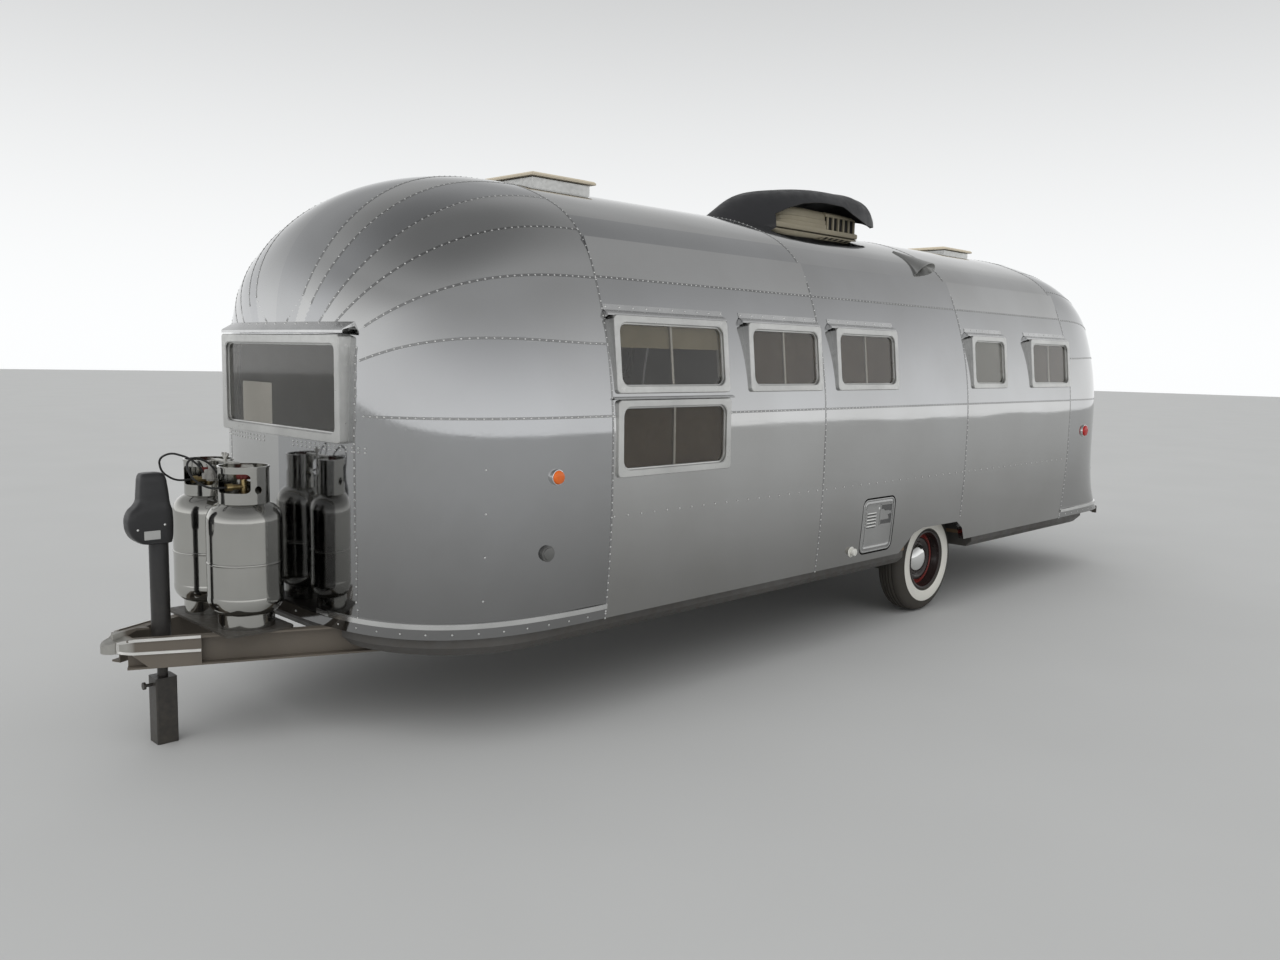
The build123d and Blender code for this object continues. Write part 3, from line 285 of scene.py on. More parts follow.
# Shares of the depth, close together near the nose, where the width runs out fast
WIDTH_SHARES = np.concatenate([np.arange(0.0, 0.30, 0.02), np.arange(0.30, 0.60, 0.01)])
DOME_SHARES = np.concatenate([run_out(WIDTH_SHARES, PLAN_POWER),
                              np.linspace(run_out(0.6, PLAN_POWER), 0.0, 80)])


def sheet_metal(name, outside, normals, keep, sheets, body="caravan", nodes=(), thick=WALL, finishes=None):
    """Closed wall from a grid of outside points: the inside is each point less the wall's thickness
    along its normal, and a rim joins the two round every free edge. Cells not in keep are holes."""
    rows, cols = outside.shape[:2]
    inside = outside - thick * normals
    here = np.arange(rows * cols).reshape(rows, cols)
    a, b, c, d = here[:-1, :-1], here[:-1, 1:], here[1:, 1:], here[1:, :-1]
    flat = outside.reshape(-1, 3)
    cell_normal = np.cross(flat[c] - flat[a], flat[b] - flat[d])
    outward = (cell_normal * normals[:-1, :-1]).sum() > 0
    cells = np.stack([d, c, b, a] if outward else [b, c, d, a], axis=-1)
    quads = [cells[keep], cells[keep][:, ::-1] + rows * cols]
    count = len(quads[0])
    padded = np.pad(keep, 1)
    for neighbour, one, two in ((padded[1:-1, :-2], a, d), (padded[1:-1, 2:], b, c),
                                (padded[:-2, 1:-1], a, b), (padded[2:, 1:-1], d, c)):
        free = keep & ~neighbour
        p, q = one[free], two[free]
        face = cells[free]
        forward = ((face == p[:, None]) & (np.roll(face, -1, axis=1) == q[:, None])).any(axis=1)
        start, end = np.where(forward, p, q), np.where(forward, q, p)
        quads.append(np.stack([end, start, start + rows * cols, end + rows * cols], axis=-1))
    faces = np.concatenate(quads)
    points = np.concatenate([flat, inside.reshape(-1, 3)])
    used, faces = np.unique(faces, return_inverse=True)
    faces = faces.reshape(-1, 4)
    mesh = bpy.data.meshes.new(name)
    mesh.from_pydata(points[used].tolist(), [], faces.tolist())
    both = np.concatenate([normals.reshape(-1, 3), -normals.reshape(-1, 3)])[used]
    loops = both[faces]
    loops[2 * count:] = 0.0
    mesh.polygons.foreach_set("use_smooth", np.arange(len(faces)) < 2 * count)
    order = np.arange(len(faces))
    mesh.polygons.foreach_set("material_index", ((order >= count) & (order < 2 * count)).astype(np.int32))
    sheet = mesh.attributes.new("sheet", "FLOAT", "FACE")
    value = np.zeros(len(faces), np.float32)
    value[:count] = sheets[keep]
    sheet.data.foreach_set("value", value)
    mesh.normals_split_custom_set(loops.reshape(-1, 3).tolist())
    piece = bpy.data.objects.new(name, mesh)
    bpy.context.collection.objects.link(piece)
    for finish in finishes or (polished_aluminium, lining_paint):
        mesh.materials.append(finish)
    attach(piece, body)
    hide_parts(*nodes)
    return piece


def shaded_metal(name, colour, metallic, roughness, grain=30.0, depth=0.0002, vary=0.10, streak=(1, 1, 1),
                 soil=0.0):
    """Finish whose colour and gloss drift with two sizes of noise, with a shallow bump; soil darkens it
    towards the ground."""
    material = bpy.data.materials.new(name)
    add = node_adder(material)
    place = add("TexCoord").outputs["Object"]
    stretched = add("Mapping", Vector=place, Scale=streak).outputs["Vector"]
    fine = add("TexNoise", Vector=stretched, Scale=grain, Detail=5.0).outputs["Fac"]
    broad = add("TexNoise", Vector=stretched, Scale=grain / 12, Detail=3.0).outputs["Fac"]
    shade = ramp(add, broad, ((0.3, [c * (1 - vary) for c in colour]),
                              (0.7, [min(c * (1 + vary), 1.0) for c in colour])))
    if soil:
        height = add("SeparateXYZ", Vector=place).outputs["Z"]
        low = add("MapRange", Value=height, From_Min=0.15, From_Max=0.9, To_Min=soil, To_Max=0.0)
        patchy = combined(add, "MULTIPLY", low.outputs["Result"], fine)
        shade = add("MixRGB", Fac=patchy, Color1=shade, Color2=(0.20, 0.17, 0.13, 1.0)).outputs["Color"]
    gloss = add("MapRange", Value=fine, From_Min=0.3, From_Max=0.7, To_Min=max(roughness * 0.8, 0.01),
                To_Max=min(roughness * 1.25, 1.0))
    bump = add("Bump", Height=fine, Distance=depth, Strength=0.6)
    paint = add("BsdfPrincipled", Base_Color=shade, Metallic=metallic, Roughness=gloss.outputs["Result"],
                Normal=bump.outputs["Normal"])
    add("OutputMaterial", Surface=paint.outputs["BSDF"])
    return material


def mirror_sheet():
    """Polished sheet: each sheet has its own slight tint, a painted reflection of the dark ground darkens it
    towards the sill, broad waves bend its reflections, and fine rubbing marks run round the body."""
    material = bpy.data.materials.new("polished_aluminium")
    add = node_adder(material)
    place = add("TexCoord").outputs["Object"]
    sheet = add("Attribute")
    sheet.attribute_name = "sheet"
    shade = ramp(add, sheet.outputs["Fac"], ((0.0, (0.50, 0.505, 0.515)), (1.0, (0.64, 0.64, 0.635))))
    cloud = add("TexNoise", Vector=place, Scale=1.7, Detail=6.0)
    haze = ramp(add, cloud.outputs["Fac"], ((0.35, (0.80, 0.79, 0.77)), (0.65, (1.0, 1.0, 1.0))))
    # Painted reflection: the colour is multiplied darker towards the sill for the dark ground mirrored in the
    # lower wall; the cloud haze is random tone.
    height = add("SeparateXYZ", Vector=place)
    low = add("MapRange", Value=height.outputs["Z"], From_Min=0.50, From_Max=1.40)
    ground_reflection_paint = ramp(add, low.outputs["Result"], ((0.0, (0.56, 0.555, 0.545)), (1.0, (1.0, 1.0, 1.0))), "EASE")
    for strength, darkened_tone in ((0.35, haze), (1.0, ground_reflection_paint)):
        blend = add("MixRGB", Fac=strength, Color1=shade, Color2=darkened_tone)
        blend.blend_type = "MULTIPLY"
        shade = blend.outputs["Color"]
    stretched = add("Mapping", Vector=place, Scale=(0.06, 1.0, 1.0)).outputs["Vector"]
    rub = add("TexNoise", Vector=stretched, Scale=90.0, Detail=4.0).outputs["Fac"]
    gloss = add("MapRange", Value=rub, From_Min=0.25, From_Max=0.75, To_Min=0.03, To_Max=0.10)
    wave = add("TexNoise", Vector=place, Scale=1.1, Detail=1.0).outputs["Fac"]
    bend = add("Bump", Height=wave, Distance=0.010, Strength=1.0)
    marks = add("Bump", Height=rub, Distance=0.00004, Strength=0.5, Normal=bend.outputs["Normal"])
    metal = add("BsdfPrincipled", Base_Color=shade, Metallic=1.0, Roughness=gloss.outputs["Result"],
                Normal=marks.outputs["Normal"])
    add("OutputMaterial", Surface=metal.outputs["BSDF"])
    return material


polished_aluminium = mirror_sheet()
lining_paint = shaded_metal("lining_paint", (0.45, 0.42, 0.36), 0.0, 0.6, grain=18.0)

# Height of the petal seams: degrees above the belt at the nose and at the ring, for each seam
PETALS = ((66.0, 81.0), (58.0, 70.0), (47.5, 58.0), (40.0, 44.8), (31.0, 32.6), (21.5, 17.2))
RINGS = (1.044, 2.700, 4.350, 6.006)


def petal_angle(nose, ring, share):
    """Degrees above the belt of a petal seam at a share of the dome's depth, easing from nose to ring."""
    return nose + (ring - nose) * np.sin(np.pi / 2 * (1.0 - share))


def sheet_tone(number):
    """A shade from 0 to 1 for each sheet, from the fraction of a large sine of its number."""
    return np.abs(np.sin(number * 12.9898) * 43758.5453) % 1.0


END_HOLE = (0.541, 1.322, 1.745)
for end in ENDS:
    outside = dome(end, DOME_SHARES)
    normals = dome_normals(end, DOME_SHARES)
    middle = (outside[:-1, :-1] + outside[1:, 1:] + outside[:-1, 1:] + outside[1:, :-1]) / 4
    share = (DOME_SHARES[:-1] + DOME_SHARES[1:])[:, None] / 2
    above = np.degrees(np.arctan2(middle[..., 2] - BELT_Z, np.abs(middle[..., 1])))
    number = np.where(middle[..., 2] < BELT_Z, 0, 1)
    for nose, ring in PETALS:
        number = number + ((above > petal_angle(nose, ring, share)) & (middle[..., 2] > BELT_Z))
    number = number * 2 + (middle[..., 1] > 0) + 40 * (end == "rear")
    half, low, high = END_HOLE
    hole = (np.abs(middle[..., 1]) < half) & (middle[..., 2] > low) & (middle[..., 2] < high) & (share > 0.6)
    sheet_metal(f"{end}_dome", outside, normals, ~hole, sheet_tone(number), nodes=(f"{end}_cap",))


def side_width(z):
    """Half width of the body at a height under the eaves: a parabola, a straight and an arc."""
    low = TUCK * (np.maximum(TUCK_Z - z, 0.0) / (TUCK_Z - SILL)) ** 2
    return HALF_WIDTH - low - SIDE_RADIUS + np.sqrt(SIDE_RADIUS**2 - np.maximum(z - SPRING_Z, 0.0) ** 2)


def side_normal(z, side):
    """Outward normals of the wall, from the slope of its half width over height."""
    over = np.maximum(z - SPRING_Z, 0.0)
    slope = np.where(z < TUCK_Z, 2 * TUCK * np.maximum(TUCK_Z - z, 0.0) / (TUCK_Z - SILL) ** 2,
                     -over / np.sqrt(SIDE_RADIUS**2 - over**2))
    normal = np.stack([np.zeros_like(z), side * np.ones_like(z), -slope], axis=-1)
    return normal / np.linalg.norm(normal, axis=-1, keepdims=True)


def grid_lines(low, high, stops, step):
    """Rising grid lines from low to high that hold every stop, no further apart than step."""
    marks = np.unique(np.round([low, high, *[s for s in stops if low < s < high]], 5))
    spans = [np.linspace(p, q, max(int(math.ceil((q - p) / step)), 1), endpoint=False)
             for p, q in zip(marks[:-1], marks[1:])]
    return np.concatenate(spans + [[high]])


def round_corner(x, z, hole):
    """Grid points on a hole's edges near its corners, moved on to the corner's quarter circle: the
    share of the way to the corner gives the turn, up to half a right angle."""
    x0, x1, z0, z1, r = hole
    x, z = x.copy(), z.copy()
    old_x, old_z = x.copy(), z.copy()
    for cx, sx in ((x0, 1), (x1, -1)):
        for cz, sz in ((z0, 1), (z1, -1)):
            dx, dz = sx * (old_x - cx), sz * (old_z - cz)
            flat = (np.abs(dz) < 1e-5) & (dx > -1e-5) & (dx < r)
            steep = (np.abs(dx) < 1e-5) & (dz > -1e-5) & (dz < r)
            turn = np.pi / 4 * (1 - np.where(flat, dx, dz) / r)
            x = np.where(flat, cx + sx * r * (1 - np.sin(turn)), x)
            z = np.where(flat, cz + sz * r * (1 - np.cos(turn)), z)
            x = np.where(steep & ~flat, cx + sx * r * (1 - np.cos(turn)), x)
            z = np.where(steep & ~flat, cz + sz * r * (1 - np.sin(turn)), z)
    return x, z


LEFT_WINDOWS = ((1.070, 1.860, 1.529, 1.884), (1.070, 1.860, 1.145, 1.500), (2.030, 2.670, 1.529, 1.884),
                (2.820, 3.470, 1.529, 1.884), (4.420, 4.920, 1.529, 1.884), (5.315, 5.985, 1.529, 1.884))
RIGHT_WINDOWS = (LEFT_WINDOWS[0], LEFT_WINDOWS[2], LEFT_WINDOWS[4], LEFT_WINDOWS[5])
HATCH_HOLE = (3.132, 3.498, 0.532, 0.878, 0.053)
DOORWAY = (2.768, 3.452, 0.526, 2.184, 0.164)
ARCH = np.array(((3.606, 0.490), (3.765, 0.606), (3.870, 0.630), (4.320, 0.626), (4.405, 0.574),
                 (4.452, 0.490)))
ARCH_Z = 0.63
LEVEL_Z = 0.80
EAVES_SEAM_Z = 2.054
HOLE_INSET = 0.016
for side, name, windows, opening in ((-1, "left_wall", LEFT_WINDOWS, HATCH_HOLE),
                                     (1, "right_wall", RIGHT_WINDOWS, DOORWAY)):
    holes = [tuple(np.add(row, (HOLE_INSET, -HOLE_INSET, HOLE_INSET, -HOLE_INSET))) for row in windows]
    r = opening[4]
    corner = r * np.linspace(0, 1, 7)
    stops_x = [v for h in holes for v in h[:2]]
    stops_x += [*(opening[0] + corner), *(opening[1] - corner), *ARCH[:, 0], *RINGS[1:3]]
    stops_z = [v for h in holes for v in h[2:]]
    stops_z += [*(opening[2] + corner), *(opening[3] - corner), ARCH_Z, LEVEL_Z, BELT_Z, EAVES_SEAM_Z]
    x, z = np.meshgrid(grid_lines(RINGS[0], RINGS[3], stops_x, 0.07),
                       grid_lines(SILL, EAVES_Z, stops_z, 0.05))
    mid_x = (x[:-1, :-1] + x[1:, 1:]) / 2
    mid_z = (z[:-1, :-1] + z[1:, 1:]) / 2
    keep = np.ones(mid_x.shape, bool)
    for x0, x1, z0, z1 in holes + [opening[:4]]:
        keep &= ~((mid_x > x0) & (mid_x < x1) & (mid_z > z0) & (mid_z < z1))
    under = np.interp(x, ARCH[:, 0], ARCH[:, 1], left=ARCH_Z, right=ARCH_Z)
    in_arch = (x > ARCH[0, 0] - 1e-6) & (x < ARCH[-1, 0] + 1e-6)
    keep &= ~((mid_x > ARCH[0, 0]) & (mid_x < ARCH[-1, 0]) & (mid_z < ARCH_Z))
    number = np.digitize(mid_x, RINGS) + 7 * np.digitize(mid_z, (BELT_Z, EAVES_SEAM_Z)) + 60 * side
    x, z = round_corner(x, z, opening)
    lifted = np.where(z <= ARCH_Z, under, LEVEL_Z - (LEVEL_Z - z) * (LEVEL_Z - under) / (LEVEL_Z - ARCH_Z))
    z = np.where(in_arch & (z < LEVEL_Z), lifted, z)
    outside = np.stack([at(x), side * side_width(z), z], axis=-1)
    sheet_metal(f"{name}_skin", outside, side_normal(z, side), keep, sheet_tone(number), nodes=(name,))

y, z = half_outline(HALF_WIDTH, CROWN, HALF_WIDTH - TUCK)
eaves_turn = math.atan2(float(side_width(np.array(EAVES_Z))), EAVES_Z - BELT_Z)
crown_turns = np.linspace(-eaves_turn, eaves_turn, 101)
upper = len(TURNS)
reach = np.interp(np.abs(crown_turns), TURNS, np.hypot(y[:upper], z[:upper] - BELT_Z))
stations = grid_lines(RINGS[0], RINGS[3], RINGS[1:3], 0.10)
outside = np.stack(np.broadcast_arrays(at(stations)[:, None], reach * np.sin(crown_turns),
                                       BELT_Z + reach * np.cos(crown_turns)), axis=-1)
run = np.broadcast_to((1.0, 0.0, 0.0), outside.shape)
number = np.digitize((stations[:-1] + stations[1:])[:, None] / 2, RINGS) + 90 + 5 * np.digitize(
    (crown_turns[:-1] + crown_turns[1:])[None] / 2, np.radians((-40, 40)))
sheet_metal("roof_skin", outside, facing(run, np.gradient(outside, axis=1), 0.0),
            np.ones((len(stations) - 1, 100), bool), sheet_tone(number), nodes=("roof",))


# Seams and rivets
# The sheets lap at the ribs and stringers, and a row of small domed rivets holds each lap. The laps are
# thin strips that follow the skin, and the rivets stand on them.
def dome_line(end, shares, above):
    """Points and normals on the left half of a domed end, at degrees above the belt or, below it, at
    heights given as negative metres: each is read from the section's own outline."""
    points, normals = dome(end, shares), dome_normals(end, shares)
    half = points.shape[1] // 2
    found = []
    for grid in (points, normals):
        left = grid[:, half::-1]
        row = []
        for k, value in enumerate(above):
            if value >= 0:
                key, want = np.degrees(TURNS), 90.0 - value
                row.append([np.interp(want, key, left[k, :upper, axis]) for axis in range(3)])
            else:
                key, want = -LOWER_Z, value
                row.append([np.interp(want, key, left[k, upper:, axis]) for axis in range(3)])
        found.append(np.array(row))
    return found


def other_side(line):
    """The same line on the caravan's right."""
    points, normals = line
    return points * (1, -1, 1), normals * (1, -1, 1)


def evenly(line, step):
    """Points and normals at equal steps of length along a line."""
    run = np.concatenate([[0.0], np.cumsum(np.linalg.norm(np.diff(line[0], axis=0), axis=1))])
    count = max(int(run[-1] / step), 1)
    spots = np.linspace(0.0, run[-1], count + 1)
    return [np.column_stack([np.interp(spots, run, column) for column in grid.T]) for grid in line]


def lap_strips(lines, width=0.012, proud=0.0011):
    """Strips along lines on the skin: a low trapezium across each line, carried along it."""
    half, top = width / 2, width / 2 - 0.0008
    profile = ((-half, -0.001), (-top, proud), (top, proud), (half, -0.001))
    points, quads, start = [], [], 0
    for line in lines:
        centre, normal = evenly(line, 0.03)
        along = np.gradient(centre, axis=0)
        across = np.cross(normal, along)
        across /= np.maximum(np.linalg.norm(across, axis=1, keepdims=True), 1e-9)
        ring = np.stack([centre + u * across + v * normal for u, v in profile], axis=1)
        n = len(centre)
        here = start + np.arange(4 * n).reshape(n, 4)
        points.append(ring.reshape(-1, 3))
        after = np.roll(here, -1, axis=1)
        quads.append(np.stack([here[:-1], here[1:], after[1:], after[:-1]], axis=-1).reshape(-1, 4))
        quads.append(np.stack([here[0], here[-1, ::-1]]))
        start += 4 * n
    return np.concatenate(points), np.concatenate(quads)


def rivet_domes(spots, normals, radius=0.0052, height=0.0024):
    """Small domes: three rings of six points and a top over each spot, the rings' radii and heights
    following a quarter turn."""
    turn = np.radians((0.0, 40.0, 70.0))
    around = np.radians(np.arange(0, 360, 60))
    side = np.cross(normals, np.where(np.abs(normals[:, 2:]) > 0.8, (1.0, 0.0, 0.0), (0.0, 0.0, 1.0)))
    side /= np.linalg.norm(side, axis=1, keepdims=True)
    other = np.cross(normals, side)
    shell = [spots + radius * np.cos(t) * (math.cos(a) * side + math.sin(a) * other)
             + (height * np.sin(t) - 0.0004 * (t == 0)) * normals for t in turn for a in around]
    shell = np.stack([*shell, spots + height * normals], axis=1)
    k = np.arange(6)
    after = (k + 1) % 6
    quads = np.concatenate([np.stack([k + s, after + s, after + s + 6, k + s + 6], axis=-1) for s in (0, 6)])
    tops = np.stack([k + 12, after + 12, np.full(6, 18)], axis=-1)
    base = 19 * np.arange(len(spots))[:, None, None]
    floor_faces = (base[:, 0] + np.arange(5, -1, -1)[None]).tolist()
    faces = (quads[None] + base).reshape(-1, 4).tolist() + (tops[None] + base).reshape(-1, 3).tolist()
    return shell.reshape(-1, 3), faces + floor_faces


def metal_piece(name, points, faces, material, slot, body="caravan", smooth=True, nodes=(), crease=None):
    """Mesh piece from points and faces, turned outwards, with one finish, riding on a body."""
    mesh = bpy.data.meshes.new(name)
    mesh.from_pydata(np.asarray(points).reshape(-1, 3).tolist(), [], [list(f) for f in faces])
    work = bmesh.new()
    work.from_mesh(mesh)
    bmesh.ops.recalc_face_normals(work, faces=work.faces)
    work.to_mesh(mesh)
    work.free()
    mesh.polygons.foreach_set("use_smooth", np.full(len(mesh.polygons), smooth))
    if crease:
        mesh.set_sharp_from_angle(angle=math.radians(crease))
    piece = bpy.data.objects.new(name, mesh)
    bpy.context.collection.objects.link(piece)
    mesh.materials.append(material)
    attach(piece, body)
    if nodes:
        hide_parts(*nodes)
    return piece


rivet_metal = shaded_metal("rivet_metal", (0.93, 0.93, 0.91), 1.0, 0.30, grain=60.0, vary=0.06)
seam_metal = shaded_metal("seam_metal", (0.33, 0.33, 0.33), 1.0, 0.24, grain=40.0, vary=0.12)


def side_line(x0, x1, z, side):
    """Level line along a wall between two stations."""
    stations = np.linspace(x0, x1, 60)
    heights = np.full_like(stations, z)
    points = np.stack([at(stations), side * side_width(heights), heights], axis=-1)
    return points, side_normal(heights, side)


def ring_line(station, low_z, side):
    """Line round half of the body's constant section, from the roof's middle down to a height."""
    y, z = half_outline(HALF_WIDTH, CROWN, HALF_WIDTH - TUCK)
    tangent = np.stack([np.gradient(y), np.gradient(z)], axis=-1)
    tangent /= np.linalg.norm(tangent, axis=1, keepdims=True)
    points = np.stack([np.full_like(y, at(station)), side * y, z], axis=-1)
    normals = np.stack([np.zeros_like(y), -side * tangent[:, 1], tangent[:, 0]], axis=-1)
    keep = z >= low_z - 1e-6
    return points[keep], normals[keep]


RIVET_PITCH = 0.034
SEAM_Y = 0.590
laps = {"front": [], "rear": [], "side": []}
for side in (-1, 1):
    for station, low in zip(RINGS, (SILL, SILL, 0.66, SILL)):
        laps["side"].append(ring_line(station, low, side))
for end in ENDS:
    shares = np.linspace(0.0, 0.999, 70)
    for nose, ring in PETALS:
        points, normals = dome_line(end, shares, petal_angle(nose, ring, shares))
        keep = (points[:, 2] > NOSE_Z) | (np.abs(points[:, 1]) > SEAM_Y)
        line = [points[keep], normals[keep]]
        laps[end] += [line, other_side(line)]
    line = dome_line(end, shares, np.full(70, 0.4))
    line = [grid[np.abs(line[0][:, 1]) > SEAM_Y] for grid in line]
    laps[end] += [line, other_side(line)]
    upright = []
    shares = np.linspace(0.70, 0.999, 120)
    for want in [*np.linspace(26, 0.5, 14), *-LOWER_Z[:-2]]:
        points, normals = dome_line(end, shares, np.full(120, want))
        k = np.argmin(np.abs(np.abs(points[:, 1]) - SEAM_Y))
        upright.append((points[k], normals[k]))
    upright = np.swapaxes(upright, 0, 1)
    laps[end] += [upright, other_side(upright)]
wall_spans = {-1: ((1.044, 6.006),), 1: ((1.044, 2.755), (3.465, 6.006))}
belt_spans = {-1: ((1.044, 1.055), (1.875, 6.006)), 1: wall_spans[1]}
for side in (-1, 1):
    for spans, z in ((belt_spans, BELT_Z + 0.006), (wall_spans, EAVES_SEAM_Z)):
        laps["side"] += [side_line(x0, x1, z, side) for x0, x1 in spans[side]]
rivets = {key: [evenly(line, RIVET_PITCH) for line in lines] for key, lines in laps.items()}
for end in ENDS:
    rows = [evenly(dome_line(end, np.linspace(0.0, 0.9995, 60), np.full(60, -0.513)), 0.11)]
    for z in (1.215, 1.030, 0.845, 0.655):
        rows.append([grid[:1] for grid in dome_line(end, np.array([0.62, 0.63]), np.full(2, -z))])
    for z in (1.272, 1.290):
        rows.append(evenly(dome_line(end, np.linspace(0.94, 0.9995, 60), np.full(60, -z)), RIVET_PITCH))
    for row in rows:
        rivets[end] += [row, other_side(row)]
for side, spans in ((-1, ((1.06, 5.99),)), (1, ((1.06, 2.74), (3.48, 5.99)))):
    rivets["side"] += [evenly(side_line(x0, x1, 0.969, side), 0.088) for x0, x1 in spans]
for key, lines in laps.items():
    metal_piece(f"{key}_laps", *lap_strips(lines), seam_metal, "polished_skin", smooth=False)
for key, lines in rivets.items():
    spots = np.concatenate([line[0] for line in lines])
    normals = np.concatenate([line[1] for line in lines])
    metal_piece(f"{key}_rivets", *rivet_domes(spots + 0.0010 * normals, normals), rivet_metal,
                "polished_skin")


# Windows
# Box frames of satin aluminium stand on the wall, their faces leaning back with its curve. The glass lies
# in a stepped edge, with a taupe insect screen and a thin upright behind it.
def rounded_loop(x0, x1, z0, z1, r, side_steps=8, corner_steps=8):
    """Closed outline: four quarter circles of radius r joined by straight runs, each with a fixed number
    of points, so that outlines of different sizes match point by point."""
    turns = np.radians(np.linspace(0, 90, corner_steps + 1))
    corners = ((x1 - r, z1 - r, 0), (x0 + r, z1 - r, 90), (x0 + r, z0 + r, 180), (x1 - r, z0 + r, 270))
    runs = []
    for (cx, cz, start), (nx, nz, after) in zip(corners, corners[1:] + corners[:1]):
        arc = turns + math.radians(start)
        points = np.stack([cx + r * np.cos(arc), cz + r * np.sin(arc)], axis=-1)
        following = np.array([nx + r * math.cos(math.radians(after)), nz + r * math.sin(math.radians(after))])
        share = np.linspace(0, 1, side_steps + 1)[1:-1, None]
        runs += [points, points[-1] + (following - points[-1]) * share]
    return np.concatenate(runs)


def ring_faces(rows, count, around=False):
    """Faces between rows of closed rings; around joins the last row to the first, otherwise each end
    gets a cap."""
    here = np.arange(rows * count).reshape(rows, count)
    after = np.roll(here, -1, axis=1)
    quads = np.stack([here, np.roll(here, -1, axis=0), np.roll(after, -1, axis=0), after], axis=-1)
    if around:
        return quads.reshape(-1, 4).tolist()
    return quads[:-1].reshape(-1, 4).tolist() + [here[0].tolist(), here[-1, ::-1].tolist()]


def through(rings, around=False):
    """Points and faces of a surface through closed rings that match point by point."""
    return np.array(rings), ring_faces(len(rings), len(rings[0]), around)


def joined(parts):
    """Points and faces of several parts as one."""
    points, faces, start = [], [], 0
    for part_points, part_faces in parts:
        part_points = np.asarray(part_points).reshape(-1, 3)
        points.append(part_points)
        faces += [[start + k for k in face] for face in part_faces]
        start += len(part_points)
    return np.concatenate(points), faces


def carried(path, profile, up, around=False):
    """A closed profile carried along a path: at each point its first coordinate lies along the cross
    product of the path's direction and up, and its second along up."""
    path = np.asarray(path, float)
    along = np.gradient(path, axis=0)
    if around:
        along = np.roll(path, -1, axis=0) - np.roll(path, 1, axis=0)
    along /= np.linalg.norm(along, axis=1, keepdims=True)
    up = np.broadcast_to(up, path.shape)
    side = np.cross(along, up)
    side /= np.linalg.norm(side, axis=1, keepdims=True)
    risen = np.cross(side, along)
    profile = np.asarray(profile)
    rings = path[:, None] + profile[None, :, :1] * side[:, None] + profile[None, :, 1:] * risen[:, None]
    return through(rings, around)


LEAN = math.atan(0.038 / 0.355)
LOW_LEAN = math.radians(1.0)
FRAME_PROUD = 0.014
BARLESS = 4.42


def leaning(row, side, loop, depth):
    """Points of an outline (station, slant height) on a window's leaning face, moved outwards by depth."""
    lean = LEAN if row[2] > SPRING_Z else LOW_LEAN
    foot = side_width(np.array(row[2])) + FRAME_PROUD
    x, s = loop[:, 0], loop[:, 1]
    y = side * (foot - s * math.sin(lean) + depth * math.cos(lean))
    return np.stack([at(x), y, row[2] + s * math.cos(lean) + depth * math.sin(lean)], axis=-1)


def slant(row):
    """Slant height of a window's face."""
    return (row[3] - row[2]) / math.cos(LEAN if row[2] > SPRING_Z else LOW_LEAN)


FRAME_RINGS = ((0.000, 0.020, -0.050), (0.000, 0.020, -0.003), (0.003, 0.018, 0.0), (0.031, 0.046, 0.0),
               (0.034, 0.046, -0.003), (0.034, 0.046, -0.014), (0.040, 0.041, -0.015), (0.041, 0.040, -0.019),
               (0.041, 0.040, -0.050))


def window_frame(row, side):
    """Frame of one side window: matching rounded outlines, each inset and set back, joined into a ring."""
    high = slant(row)
    rings = [leaning(row, side, rounded_loop(row[0] + u, row[1] - u, u, high - u, r), depth)
             for u, r, depth in FRAME_RINGS]
    return through(rings, around=True)


def panel(row, side, inset, radius, depth, thick, low=0.0, high=1.0):
    """Thin flat panel behind a window's glass, over a share of its height."""
    whole = slant(row)
    loop = rounded_loop(row[0] + inset, row[1] - inset, inset + low * (whole - 2 * inset),
                        whole - inset - (1 - high) * (whole - 2 * inset), radius)
    return through([leaning(row, side, loop, d) for d in (depth, depth - thick)])


window_aluminium = shaded_metal("window_aluminium", (0.60, 0.60, 0.585), 1.0, 0.34, grain=50.0, vary=0.10)
screen_mesh = shaded_metal("screen_mesh", (0.150, 0.118, 0.088), 0.0, 0.8, grain=400.0, depth=0.0004,
                           vary=0.12)
shade_cloth = shaded_metal("shade_cloth", (0.42, 0.38, 0.27), 0.0, 0.8, grain=120.0, vary=0.06)
frosted_pane = shaded_metal("frosted_pane", (0.46, 0.48, 0.47), 0.0, 0.45, grain=14.0, vary=0.10)
DOOR_WINDOW = (2.900, 3.320, 1.529, 1.884)
PANE_INSET = 0.036
BAR = ((-0.007, -0.003), (0.007, -0.003), (0.008, 0.0), (0.007, 0.003), (-0.007, 0.003), (-0.008, 0.0))
for side, name, rows in ((-1, "left_window", LEFT_WINDOWS), (1, "right_window", RIGHT_WINDOWS)):
    parts = [window_frame(row, side) for row in rows]
    barred = [row for row in rows if row[0] != BARLESS]
    for row in barred:
        upright = np.linspace(0.03, slant(row) - 0.03, 9)
        line = np.column_stack([np.full(9, (row[0] + row[1]) / 2), upright])
        parts.append(carried(leaning(row, side, line, -0.029), BAR, (0.0, side, 0.0)))
    metal_piece(f"{name}_frames_dressed", *joined(parts), window_aluminium, "window_aluminium",
                nodes=(f"{name}_frames",), crease=35)
    screened = [row for row in barred if side > 0 or row is not rows[0]]
    screens = [panel(row, side, PANE_INSET, 0.03, -0.036, 0.002) for row in screened]
    metal_piece(f"{name[:-7]}_screens", *joined(screens), screen_mesh, "window_aluminium", crease=35)
shade = metal_piece("roller_shade", *panel(LEFT_WINDOWS[0], -1, PANE_INSET, 0.012, -0.040, 0.001, 0.62, 1.0),
                    shade_cloth, "window_aluminium", crease=35)
frosted = [panel(row, side, PANE_INSET, 0.03, -0.027, 0.003)
           for side, row in ((-1, LEFT_WINDOWS[4]), (1, RIGHT_WINDOWS[2]))]
metal_piece("frosted_panels", *joined(frosted), frosted_pane, "window_glass", crease=35)
